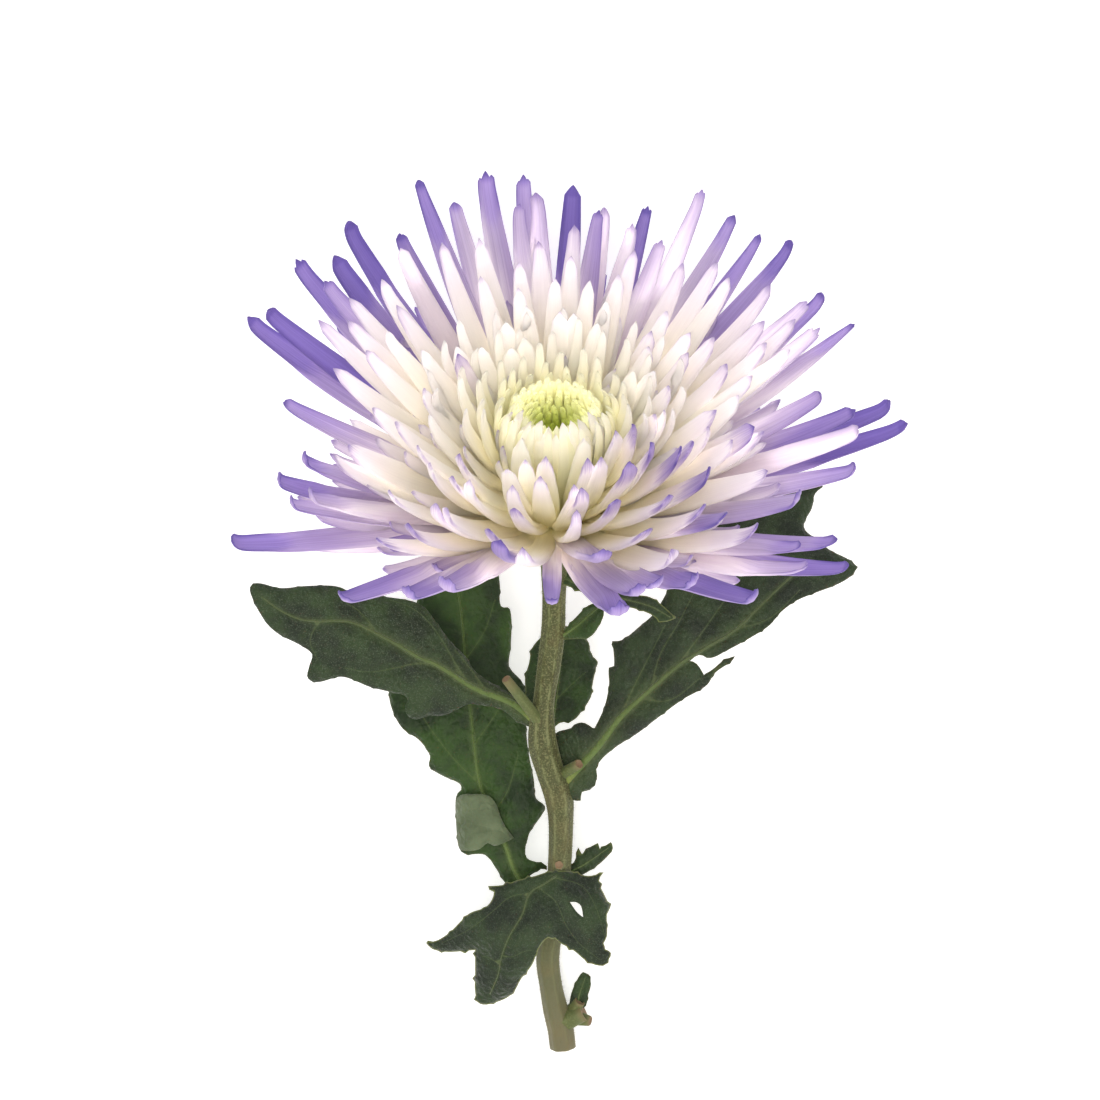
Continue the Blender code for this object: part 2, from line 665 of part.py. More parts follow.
def make_leaf(name, outline, height, spacing, cutters, material):
    """A leaf blade, split into the same triangles above and below, cut clear of the stem."""
    places = [Vector(place) for place in outline]
    rim = len(places)
    left, right = min(x for x, y in outline), max(x for x, y in outline)
    top, bottom = min(y for x, y in outline), max(y for x, y in outline)
    row_height = spacing * math.sqrt(0.75)
    for row in range(int((bottom - top) / row_height) + 1):
        for column in range(int((right - left) / spacing) + 1):
            across = left + spacing * (column + 0.5 * (row % 2))
            down = top + row_height * row
            if inside_outline(across, down, outline) and edge_distance(across, down, outline) > spacing * 0.45:
                places.append(Vector((across, down)))
    edges = [(place, (place + 1) % rim) for place in range(rim)]
    flat, _, triangles, *_ = delaunay_2d_cdt(places, edges, [], 1, 1e-4)
    count = len(flat)
    points = []
    for lift in (LEAF_THICKNESS, 0.0):
        points += [spot(place.x, place.y, height(place.x, place.y)) + Vector((0, 0, lift)) for place in flat]
    faces = []
    sides = set()
    for triangle in triangles:
        faces.append(tuple(triangle))
        faces.append(tuple(corner + count for corner in reversed(triangle)))
        sides.update(zip(triangle, (*triangle[1:], triangle[0])))
    for start, end in sorted(sides):
        if (end, start) not in sides:
            faces.append((end, start, start + count, end + count))
    leaf = make_object(name, points, faces, material)
    combine(leaf, cutters, "DIFFERENCE", "EXACT")
    largest_shell(leaf)


def make_leaves(green, pale):
    """Every leaf and bract on the stem."""
    cutters = stem_solids(CLEARANCE, -1.0, green)
    leaves = (
        ("leaf_left", LEFT_LEAF, leaf_height((530, 722), (252, 588), 25.6, 40, 2, -9, 1.2, 2.5), 34, green),
        ("leaf_back", BACK_LEAF, leaf_height((548, 904), (446, 512), 12.4, 17, 3, -10, 1.2, 2.5), 40, green),
        ("leaf_right", RIGHT_LEAF, leaf_height((566, 775), (858, 567), 21.8, 34, 6, -10, 1.2, 2.5), 40, green),
        ("leaf_rear", REAR_LEAF, leaf_height((547, 729), (560, 626), 22.6, 19, -1, -4, 0.5, 1.5), 26, green),
        ("leaf_lower", LOWER_LEAF, leaf_height((562, 868), (492, 1003), 17.6, 11, 6, -7, 0.5, 2), 28, green),
        ("leaf_side", SIDE_LEAF, leaf_height((568, 874), (612, 843), 13.6, 16.5, 0, 0, 0, 1), 20, green),
        ("bract_upper", UPPER_BRACT, leaf_height((558, 638), (603, 606), 31, 36, 1, 4, 0, 1), 20, pale),
        ("bract_outer", OUTER_BRACT, leaf_height((556, 574), (676, 618), 37, 41, 2, 6, 0, 1), 24, pale),
        ("leaf_sprout", SPROUT_LEAF, leaf_height((578, 1008), (584, 973), 5, 9, 0, 3, 0, 1), 20, pale),
    )
    for name, outline, height, spacing, material in leaves:
        make_leaf(name, outline, height, spacing, cutters, material)
    discard(cutters)


def main():
    """Clear the scene and build the flower."""
    for old in list(bpy.data.objects):
        bpy.data.objects.remove(old)
    make_bloom(make_material("floret_lavender", (0.62, 0.52, 0.74), 0.55))
    make_eye(make_material("floret_green", (0.50, 0.55, 0.18), 0.55))
    make_stem(make_material("stem_green", (0.17, 0.18, 0.07), 0.7))
    leaf_green = make_material("leaf_green", (0.05, 0.09, 0.03), 0.6)
    bract_green = make_material("bract_green", (0.06, 0.11, 0.03), 0.6)
    make_leaves(leaf_green, bract_green)


main()
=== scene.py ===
"""The looks of a cut spider chrysanthemum that lies on a table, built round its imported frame.
Metres, +Z up, +Y from the stem's cut end to the bloom."""

import cmath
import math
from collections import namedtuple

import bpy
import numpy as np
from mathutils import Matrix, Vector
from mathutils.geometry import delaunay_2d_cdt


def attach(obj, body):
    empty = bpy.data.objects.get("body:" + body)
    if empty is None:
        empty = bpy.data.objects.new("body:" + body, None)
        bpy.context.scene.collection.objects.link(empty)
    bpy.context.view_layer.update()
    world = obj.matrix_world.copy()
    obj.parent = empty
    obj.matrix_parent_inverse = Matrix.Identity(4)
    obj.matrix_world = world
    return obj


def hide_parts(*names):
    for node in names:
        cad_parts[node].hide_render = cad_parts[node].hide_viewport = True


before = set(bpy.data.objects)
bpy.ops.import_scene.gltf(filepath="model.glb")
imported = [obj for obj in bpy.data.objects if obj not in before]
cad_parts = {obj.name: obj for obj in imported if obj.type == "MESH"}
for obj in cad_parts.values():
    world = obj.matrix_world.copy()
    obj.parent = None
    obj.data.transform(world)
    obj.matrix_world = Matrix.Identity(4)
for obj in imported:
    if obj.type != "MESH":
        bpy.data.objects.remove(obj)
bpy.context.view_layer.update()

MM = 0.001

# Driving dimensions of the flower
BLOOM_WIDTH = 140 * MM
BLOOM_HEIGHT = 50 * MM
BLOOM_TILT = math.radians(40)
BLOOM_LEAN = 0.02
CORE_RADIUS = 10.0 * MM
CORE_TOP_RADIUS = 8.2 * MM
CORE_TOP = 10.5 * MM
CORE_BOTTOM = -2.0 * MM
EYE_RADIUS = 7.2 * MM
EYE_DEPTH = 8.0 * MM
CUP_RADIUS = 9.2 * MM
CUP_DEPTH = 7.4 * MM
NECK_RADIUS = 2.7 * MM
CLEARANCE = 0.3 * MM
STEEPEST_RISE = math.radians(67)
# A floret's root on the core, at the rim and at the eye: radius and axial place
RIM_ROOT = (7.2 * MM, -0.4 * MM)
EYE_ROOT = (7.9 * MM, 8.4 * MM)
GOLDEN_ANGLE = math.radians(137.508)
# How finely the round solids are divided
ROUND_SIDES = 48
DOME_SIDES = 32
DOME_LEVELS = 8
# A tube along a line: its sides, its ribs, their depth as a share of its radius, and how hollow its cut is
STEM_TUBE = (48, 7, 0.035, 0.5 * MM)
STUB_TUBE = (20, 5, 0.05, 0.3 * MM)
LEAF_RIB_TUBE = (10, 1, 0.0, 0.0)

# The photograph looks straight down on the flower from this height above the table
LENS_HEIGHT = 1250 * MM
SENSOR_WIDTH = 36
# Where the middle of the photograph lies in the flower's own frame
VIEW_X = -5.0 * MM
VIEW_Y = 13.2 * MM
# Pixels of the photograph
VIEW_CENTRE_PX = 550
BLOOM_WIDTH_PX = 683
BLOOM_CENTRE_PX = (553, 503)

# The lamps: name, place, size, power and how blue; the room's own light
LAMPS = (
    ("lamp_above", (-0.1, -0.1, 1.3), 0.45, 3.9, 0.95),
    ("lamp_left", (-0.7, 0.75, 1.0), 0.7, 2.0, 0.95),
    ("lamp_right", (0.9, -0.3, 0.9), 0.8, 1.4, 0.9),
    ("lamp_front", (0.05, -0.75, 1.0), 0.8, 5.2, 0.8),
)
ROOM_LIGHT = 0.56
# The floor: its width, how far it lies below the flower, its colour and its own light
FLOOR_SIZE = 6
FLOOR_GAP = 0.4 * MM
FLOOR_COLOUR = (0.95, 0.95, 0.95, 1)
FLOOR_GLOW = 0.45

# How far a tip is from the receptacle in millimetres, by its rise above the bloom's plane in degrees
REACH_BY_RISE = ((-10, 74), (10, 76.5), (20, 75), (30, 64), (40, 52), (55, 38), (70, 28), (80, 25), (90, 24))

# Tips of the outer florets in the photograph: across, down and width in pixels, and how violet they are
RIM_TIPS = (
    (232, 543, 24, 0.9), (341, 600, 22, 0.85), (405, 595, 24, 0.85), (443, 587, 30, 0.75),
    (275, 478, 20, 0.85), (300, 459, 16, 0.8), (308, 496, 20, 0.6), (288, 503, 14, 0.7),
    (281, 402, 18, 0.75), (243, 318, 23, 0.95), (262, 308, 22, 1.0), (293, 260, 24, 0.9),
    (331, 256, 28, 1.0), (322, 281, 20, 0.7), (342, 221, 23, 1.0), (397, 231, 16, 0.95),
    (399, 248, 18, 0.2), (418, 181, 13, 0.85), (454, 202, 20, 0.65), (483, 172, 27, 0.75),
    (522, 176, 21, 0.7), (517, 203, 15, 0.55), (538, 194, 19, 0.5), (573, 186, 26, 1.0),
    (598, 210, 14, 0.7), (606, 207, 17, 0.4), (648, 206, 13, 0.9), (634, 224, 14, 0.35),
    (662, 239, 16, 0.5), (704, 191, 14, 0.5), (735, 216, 14, 0.75), (761, 235, 9, 0.8),
    (796, 241, 12, 0.95), (829, 294, 15, 0.8), (809, 302, 16, 0.45), (821, 328, 22, 0.45),
    (855, 324, 5, 0.75), (830, 391, 18, 0.7), (900, 404, 23, 1.0), (911, 426, 20, 1.0),
    (858, 410, 21, 0.85), (857, 431, 23, 0.4), (857, 470, 16, 0.75), (801, 498, 30, 0.8),
    (832, 541, 18, 0.85), (845, 567, 16, 0.9), (797, 547, 14, 0.75), (802, 567, 22, 0.6),
    (757, 599, 26, 0.95), (697, 581, 29, 0.9), (660, 583, 27, 0.8), (640, 592, 28, 0.85),
    (621, 612, 32, 0.95), (552, 603, 20, 0.9), (603, 556, 30, 0.8),
)

# Rim florets below this row turn their hooked ends up, so they are longer by this share
HOOKED_BELOW_PX = 430
HOOKED_SHARE = 0.03

# Tips of the florets inside them: across and down in pixels, and how violet they are
INNER_TIPS = (
    (349, 298, 0.3), (346, 320, 0.35), (363, 350, 0.3), (421, 350, 0.1), (457, 353, 0.6), (419, 388, 0.25),
    (371, 408, 0.3), (394, 422, 0.3), (344, 445, 0.5), (328, 458, 0.4), (414, 447, 0.3), (425, 465, 0.25),
    (456, 456, 0.55), (449, 479, 0.5), (464, 486, 0.3), (384, 494, 0.35), (430, 510, 0.5), (440, 513, 0.4),
    (404, 528, 0.7), (375, 541, 0.65), (318, 320, 0.4), (333, 368, 0.4), (377, 280, 0.2), (396, 305, 0.35),
    (382, 330, 0.1), (440, 242, 0.3), (478, 238, 0.2), (480, 276, 0.2), (455, 345, 0.1), (480, 345, 0.05),
    (505, 320, 0.05), (510, 345, 0.05), (518, 262, 0.2), (518, 287, 0.15), (526, 305, 0.1), (524, 335, 0.05),
    (540, 240, 0.35), (555, 278, 0.15), (560, 310, 0.15), (575, 225, 0.45), (572, 255, 0.2), (575, 312, 0.1),
    (590, 280, 0.1), (598, 320, 0.05), (607, 300, 0.05), (621, 272, 0.2), (635, 250, 0.3), (685, 262, 0.4),
    (718, 262, 0.35), (731, 278, 0.2), (668, 310, 0.2), (691, 332, 0.2), (653, 330, 0.3), (652, 345, 0.2),
    (717, 337, 0.3), (766, 320, 0.4), (773, 285, 0.45), (798, 320, 0.35), (792, 350, 0.15), (770, 343, 0.3),
    (732, 363, 0.45), (690, 352, 0.3), (673, 385, 0.3), (655, 370, 0.1), (635, 370, 0.05), (745, 395, 0.15),
    (755, 375, 0.25), (658, 413, 0.35), (668, 410, 0.2), (636, 424, 0.75), (657, 444, 0.85), (633, 466, 0.8),
    (695, 442, 0.75), (683, 448, 0.95), (718, 410, 0.5), (715, 428, 0.35), (738, 440, 0.4), (757, 427, 0.75),
    (766, 432, 0.5), (715, 470, 0.95), (672, 498, 0.75), (707, 508, 0.7), (728, 516, 1.0), (771, 472, 0.5),
    (617, 500, 0.75), (650, 530, 0.65), (680, 558, 0.5), (763, 530, 0.7), (511, 490, 0.3), (514, 509, 0.6),
    (545, 458, 0.45), (525, 460, 0.25), (540, 480, 0.4), (507, 470, 0.15), (590, 462, 0.6), (603, 459, 0.5),
    (584, 494, 0.6), (576, 490, 0.4), (578, 518, 0.5), (520, 440, 0.1), (585, 440, 0.1), (618, 432, 0.45),
    (585, 420, 0.05), (595, 420, 0.05), (488, 530, 0.7), (497, 547, 1.0), (522, 557, 0.5),
)
# They are narrow where the bloom parts, towards the lens, and wide far from there or below it
PARTING_PX = (553, 527)
NARROW_PX = 20
INNER_WIDTH_PX = 31
WIDE_FROM_PX = 135
WIDE_BELOW_PX = 25
# Those above the eye, from this line up in the photograph, are narrower again
NARROW_ABOVE_PX = 430
NARROWING_PX = 80
# The florets near the eye are warmer in colour
EYE_PX = (555, 420)
WARM_PX = 175
WARMTH = 0.26
# A rim floret is at least this wide before its tip, but not the slim one in front of the stem
RIM_WIDTH_PX = 25
SLIM_PX = 12

# Whorls that the photograph hides: first and last azimuth and rise in degrees, reach in millimetres, florets
HIDDEN_WHORLS = (
    (228, 312, 3, 7, 69, 6),
    (25, 80, 15, 19, 47, 4),
    (122, 155, 15, 19, 47, 3),
)
HIDDEN_WIDTH = 4.8 * MM
HIDDEN_VIOLET = 0.7

# The rear florets that the bloom rests on: first and last azimuth in degrees, and florets
RESTING_WHORL = (240, 300, 7)
RESTING_RADIUS = 72 * MM
RESTING_SINK = 9 * MM
RESTING_VIOLET = 0.8

# Florets that fill the bloom between those whose tips show: number, rise in degrees, width, share of reach
FILL_COUNT = 175
FILL_RISES = (2, 61)
FILL_WIDTH = 4.2 * MM
FILL_REACH = (0.54, 0.78)
FILL_GRID = {"rows": 20, "columns": 9}
# The lowest of them are as violet as the rim is there
LOW_FILL_RISE = math.radians(24)
LOW_FILL_VIOLET = 0.55
# How near their tips may come to the rim, as shares of its distance in the photograph, and the least reach
FILL_LIMIT = 0.8
FILL_LEAST = 0.42
# The rim's distance is that of its furthest tip within this angle, and at least this many pixels
RIM_WINDOW = math.radians(9)
NEAREST_RIM_PX = 60.0
# None of them points straight at the lens, where the bloom parts: the half angle of that gap
PARTING = math.radians(34)

# Whorls of short florets that curl in round the eye: rise in degrees, reach and width in millimetres, florets
CROWN_WHORLS = (
    (72, 28.0, 2.4, 19),
    (68, 30.0, 2.8, 20),
    (63, 33.5, 3.2, 21),
    (57, 37.5, 3.6, 21),
    (50, 42.0, 4.0, 21),
)
# How many numbers are kept for the florets of a whorl
CROWN_NUMBERS = 25

# The lower whorls leave out the front, where the long florets stand up: half the angle left out
CROWN_GAP = math.radians(62)

# Pale florets that hood the front of the eye: as the rings below, and how far round they reach, in degrees
HOOD_RINGS = (
    (7.4, 10.2, 8.2, 27.2, 2.9, 8, 62),
    (7.9, 11.0, 9.4, 26.2, 3.2, 9, 80),
)

# Rings of young florets in the eye: radii at root, belly and tip, height and width in millimetres, florets
EYE_RINGS = (
    (6.9, 9.0, 8.5, 26.6, 2.0, 29),
    (6.5, 8.5, 7.8, 25.9, 1.9, 28),
    (6.0, 7.8, 7.1, 25.1, 1.8, 26),
    (5.4, 7.0, 6.3, 24.3, 1.7, 24),
    (4.8, 6.2, 5.5, 23.5, 1.6, 21),
    (4.1, 5.3, 4.6, 22.7, 1.5, 18),
    (3.3, 4.4, 3.7, 21.9, 1.4, 15),
    (2.4, 3.4, 2.7, 21.2, 1.3, 12),
    (1.5, 2.3, 1.6, 20.7, 1.2, 8),
    (0.7, 1.1, 0.6, 20.5, 1.1, 4),
)

# How a kind of floret is built: its grid, depth of the tube as a share of its half width, share of its width
# left at the tip, where it starts to taper to it, round end, teeth, where it opens along its length, how far
# that varies, raised lips, where it starts to curl and by how many radians, and relief
Form = namedtuple(
    "Form", "rows columns flat tip_share taper round teeth opening vary lips curl_from curl relief"
)
RIM_FORM = Form(30, 13, 0.32, 0.54, 0.5, 1.3, 0.8, 0.68, 0.25, 0.3, 0.92, 0.7, 0.12 * MM)
INNER_FORM = Form(24, 11, 0.3, 0.4, 0.5, 2.4, 0.3, 0.94, 0.04, 0.1, 0.88, 0.36, 0.06 * MM)
CROWN_FORM = Form(17, 9, 0.38, 0.38, 0.5, 2.6, 0.2, 1.2, 0.0, 0.0, 0.75, 0.45, 0.04 * MM)
BUD_FORM = Form(12, 7, 0.5, 0.46, 0.5, 2.2, 0.2, 1.2, 0.0, 0.0, 0.65, 0.2, 0.0)
WALL = 0.3 * MM
# How deep the tube is at its root, where its end closes, and how long it takes to open, as shares
ROOT_DEPTH = 0.85
CLOSING_FROM = 0.8
OPENING_RUN = 0.07
# How much the edges ruffle and how far the teeth may draw the tip's edge back, as shares
RUFFLE = 0.08
DEEPEST_TOOTH = 0.5

# How far a floret bows back, as a share of its length, and how far it turns about its own length
RIM_BOW = 0.08
INNER_BOW = 0.09
FRONT_BOW = 0.12
HIDDEN_BOW = 0.06
CROWN_BOW = 0.16
BOW_SCATTER = 0.03
FLORET_TWIST = 0.24
# The number of the first floret of each kind: a floret's number settles how it varies
FIRST_RIM = 0
FIRST_INNER = 100
FIRST_FILL = 300
FIRST_CROWN = 500
FIRST_HOOD = 641
FIRST_EYE = 701
# A floret is a narrow tube at its root and widens over this length, at most up to this share of it
ROOT_WIDTH = 3.0 * MM
WIDENING = 17 * MM
WIDENING_SHARE = 0.5
# How softly a floret bends to lie on the table
TABLE_SOFTNESS = 1.2 * MM

# A floret: its line (root, bend, tip and the direction of its back), width and form, how violet it is, where
# along it the violet starts and is full, and how green it is
Floret = namedtuple("Floret", "line width form violet start full green")

# The stem's middle line: across and down in pixels, its height and its radius in millimetres
STEM_LINE = (
    (554, 575, 37.5, 2.6), (554, 600, 34.5, 2.4), (553, 632, 31.5, 2.45), (549, 665, 29, 2.4),
    (544, 700, 27, 2.2), (542, 722, 26, 2.6), (543, 745, 24.6, 3.0), (550, 770, 22.4, 2.9),
    (559, 797, 20, 2.95), (561, 820, 18, 2.6), (560, 860, 15, 2.45), (557, 900, 12, 2.4),
    (551, 935, 9.5, 2.35), (548, 960, 7.8, 2.45), (551, 985, 6.2, 2.4), (556, 1010, 4.6, 2.65),
    (561, 1030, 3.4, 2.75), (563, 1047, 2.5, 2.77),
)

# Cut side shoots on the stem: root and end, each across, down and height, then the two radii in millimetres
STUBS = (
    ((540, 722, 27.0), (506, 679, 34.0), 1.3, 1.0),
    ((563, 773, 22.6), (579, 764, 26.4), 1.2, 1.05),
    ((560, 866, 14.5), (559, 865, 17.8), 1.4, 0.9),
    ((561, 1022, 4.2), (583, 1012, 5.5), 2.3, 2.0),
    ((573, 1010, 4.6), (580, 1001, 6.6), 1.6, 1.2),
    ((577, 1018, 4.0), (590, 1021, 5.0), 1.6, 1.1),
)

# Leaf outlines in the photograph, across and down, in pixels
LEFT_LEAF = (
    (536, 729), (517, 722), (508, 714), (498, 708), (485, 706), (470, 704), (458, 709), (445, 715),
    (430, 716), (413, 719), (405, 711), (407, 698), (390, 692), (370, 687), (348, 678), (338, 677),
    (320, 682), (311, 681), (307, 676), (311, 661), (312, 654), (300, 645), (280, 635), (268, 625),
    (258, 610), (253, 600), (250, 587), (258, 583), (280, 588), (305, 586), (335, 586), (352, 592),
    (380, 596), (412, 601), (425, 608), (436, 622), (452, 643), (466, 657), (474, 670), (487, 680),
    (505, 690), (520, 702), (538, 715),
)
BACK_LEAF = (
    (551, 900), (546, 896), (533, 887), (528, 879), (534, 873), (541, 869), (547, 870), (547, 866),
    (541, 863), (533, 861), (527, 858), (525, 850), (527, 842), (530, 832), (537, 822), (543, 813),
    (545, 806), (536, 798), (534, 780), (530, 760), (527, 740), (526, 715), (527, 695), (521, 680),
    (515, 674), (509, 666), (511, 645), (510, 609), (501, 606), (500, 585), (496, 560), (484, 535),
    (466, 515), (449, 510), (436, 524), (428, 545), (423, 562), (419, 590), (412, 620), (400, 650),
    (391, 675), (389, 695), (393, 712), (403, 729), (419, 740), (430, 756), (429, 766), (441, 775),
    (460, 784), (461, 790), (456, 797), (456, 820), (459, 848), (465, 854), (485, 855), (495, 867),
    (505, 883), (515, 894), (530, 904), (548, 912),
)
RIGHT_LEAF = (
    (563, 790), (573, 800), (580, 800), (582, 792), (590, 790), (597, 779), (597, 766), (612, 750),
    (638, 733), (655, 720), (682, 700), (700, 690), (708, 684), (715, 673), (732, 661), (735, 656),
    (724, 660), (713, 669), (704, 675), (697, 664), (690, 661), (699, 655), (711, 658), (726, 651),
    (750, 638), (770, 625), (780, 613), (796, 601), (815, 593), (836, 585), (850, 577), (858, 567),
    (848, 559), (830, 550), (818, 540), (804, 527), (812, 508), (815, 494), (823, 487), (806, 480),
    (786, 484), (768, 500), (748, 512), (738, 504), (722, 508), (708, 530), (692, 548), (676, 575),
    (655, 612), (640, 626), (622, 640), (612, 641), (614, 666), (609, 668), (609, 685), (604, 708),
    (594, 729), (585, 723), (578, 723), (571, 728), (556, 733), (552, 745),
)
REAR_LEAF = (
    (549, 731), (560, 723), (572, 721), (579, 715), (591, 697), (592, 688), (596, 668), (598, 662),
    (591, 654), (589, 643), (580, 632), (566, 626), (552, 627), (541, 637), (532, 648), (529, 663),
    (525, 678), (527, 698), (534, 714), (541, 727),
)
LOWER_LEAF = (
    (548, 872), (535, 876), (518, 880), (503, 885), (488, 886), (494, 892), (487, 906), (470, 913),
    (462, 920), (450, 932), (438, 940), (426, 943), (432, 949), (448, 952), (475, 950), (475, 975),
    (475, 992), (480, 1004), (500, 1001), (513, 993), (521, 979), (532, 965), (538, 950), (545, 940),
    (552, 937), (560, 943), (573, 950), (588, 962), (603, 966), (607, 962), (611, 953), (603, 947),
    (607, 936), (607, 914), (610, 908), (606, 898), (599, 881), (604, 872), (588, 876), (570, 871),
)
SIDE_LEAF = (
    (563, 870), (574, 862), (578, 847), (582, 854), (590, 847), (598, 843), (600, 849), (611, 842),
    (613, 848), (606, 858), (594, 868), (580, 876), (568, 880),
)
UPPER_BRACT = (
    (557, 640), (566, 628), (577, 616), (589, 605), (599, 604), (604, 612), (600, 624), (590, 637),
    (575, 639),
)
OUTER_BRACT = (
    (556, 566), (574, 572), (600, 586), (620, 592), (637, 595), (650, 597), (662, 605), (676, 618),
    (663, 622), (650, 614), (636, 609), (618, 605), (596, 598), (572, 588), (557, 580),
)
SPROUT_LEAF = (
    (569, 1006), (571, 994), (577, 980), (583, 972), (588, 974), (591, 984), (588, 995), (584, 1008),
)
# How far the wave along one half of a leaf runs ahead of the other half's, in radians
WAVE_OFFSET = 1.3

# The cup under the bloom: its depth as a share of its whole depth, and its radius there
CUP_CURVE = (
    (-0.4, CUP_RADIUS * 0.86), (0.0, CUP_RADIUS * 0.94), (0.2, CUP_RADIUS), (0.6, CUP_RADIUS * 0.8),
    (0.95, CUP_RADIUS * 0.42), (1.25, NECK_RADIUS * 0.9),
)
# Rows of scales on it: depths of their roots and tips, and how far the tips stand off in millimetres
SCALE_ROWS = ((1.1, 0.42, 1.3), (0.85, 0.12, 1.0), (0.6, -0.2, 0.8))
SCALES = 13
SCALE_GRID = (10, 7)
SCALE_THICKNESS = 0.4 * MM

# How far round the stem its ribs are turned, in radians of their wave
RIB_TURN = 1.83

# Fine hairs on the stem
HAIRS = 1800
HAIR_LENGTH = 0.75 * MM
HAIR_RADIUS = 0.03 * MM
HAIR_FACES = ((0, 1, 3), (1, 2, 3), (2, 0, 3))

# A small hole that an insect left in the lower leaf, and the folded flap of the back leaf with its vein
LOWER_HOLE = ((570, 902), (576, 902), (581, 906), (583, 917), (577, 912))
BACK_FLAP = (
    (458, 797), (475, 794), (489, 796), (496, 804), (500, 815), (505, 826), (511, 834), (514, 838),
    (504, 843), (494, 846), (488, 843), (480, 849), (470, 851), (460, 849), (457, 836), (456, 815),
)
FLAP_LINE = ((458, 822), (485, 826), (510, 834))
FLAP_LINE_HALVES = (0.05, 0.05)

# Veins in the photograph: a list of lines for each leaf, the thickest first
LEFT_VEINS = (
    ((534, 720), (515, 705), (500, 698), (485, 693), (470, 686), (450, 673), (435, 664), (420, 658),
     (400, 646), (380, 635), (362, 626), (345, 621), (320, 621), (300, 619), (280, 610), (262, 597)),
    ((470, 686), (455, 662), (440, 637), (425, 618), (408, 606), (390, 600)),
    ((435, 664), (415, 664), (395, 668), (370, 672), (345, 668)),
    ((487, 691), (470, 668), (455, 650)),
    ((380, 635), (360, 612), (340, 598)),
    ((320, 621), (310, 640), (318, 660)),
)
BACK_VEINS = (
    ((536, 902), (515, 872), (505, 845), (492, 815), (480, 785), (474, 745), (470, 705), (466, 670),
     (462, 620), (455, 575), (446, 540)),
    ((480, 785), (455, 760), (435, 735), (415, 705)),
    ((474, 745), (495, 715), (510, 690)),
    ((470, 700), (448, 680), (428, 650), (420, 620)),
    ((466, 660), (485, 630), (495, 600)),
    ((492, 815), (508, 790), (518, 755)),
)
RIGHT_VEINS = (
    ((566, 780), (584, 762), (602, 742), (620, 718), (650, 690), (680, 664), (705, 648), (735, 630),
     (760, 606), (785, 582), (812, 560)),
    ((676, 667), (700, 635), (722, 604), (745, 572), (765, 540)),
    ((640, 699), (670, 700), (700, 678)),
    ((620, 718), (632, 690), (650, 655), (665, 625)),
    ((735, 630), (770, 618), (800, 590)),
    ((650, 690), (660, 655), (680, 620), (700, 580)),
)
REAR_VEINS = (
    ((552, 728), (556, 700), (560, 670), (562, 640)),
    ((556, 700), (572, 684), (586, 672)),
    ((557, 690), (544, 676), (534, 664)),
)
LOWER_VEINS = (
    ((556, 876), (544, 884), (530, 893), (522, 915), (510, 935), (502, 955), (498, 975), (490, 994)),
    ((530, 893), (510, 897), (492, 912), (468, 930), (442, 943)),
    ((540, 889), (556, 902), (566, 925), (580, 944), (600, 960)),
    ((556, 878), (582, 886), (596, 908), (606, 940)),
    ((502, 955), (512, 957), (522, 952), (532, 950)),
    ((500, 965), (490, 958), (482, 956)),
)
SIDE_VEINS = (
    ((566, 874), (585, 864), (608, 848)),
)
UPPER_VEINS = (
    ((560, 637), (575, 627), (590, 614), (599, 607)),
)
OUTER_VEINS = (
    ((560, 575), (590, 590), (620, 598), (650, 606), (670, 617)),
)
SPROUT_VEINS = (
    ((577, 1006), (580, 992), (585, 978)),
)
# A side vein is drawn like the edge of the main one, at this many of its half widths from the middle
FAINT_VEIN = 0.68
# Small teeth on the leaves' margins: their length in pixels and how many outline points apart they are
TOOTH_PX = 1.7
TOOTH_STEP = 6
LEAF_THICKNESS = 0.42 * MM
LEAF_LIFT = 0.62 * MM
LEAF_SPACING_PX = 3.6
VEIN_STEP_PX = 5
# How high the blade swells between its veins, how low it sinks at them and how far its margin droops, then
# over how many pixels it swells, droops and thins
SWELL = 0.5 * MM
VEIN_SINK = 0.36 * MM
DROOP = 0.5 * MM
SWELL_PX = 6
DROOP_PX = 5
THIN_PX = 3
# The share of the lift that the blade's middle has, and the main rib's radius and how deep it is sunk, as
# shares of its half width and of its radius
BLADE_SEAT = 0.65
RIB_ROUND = 0.62
RIB_SINK = 0.45

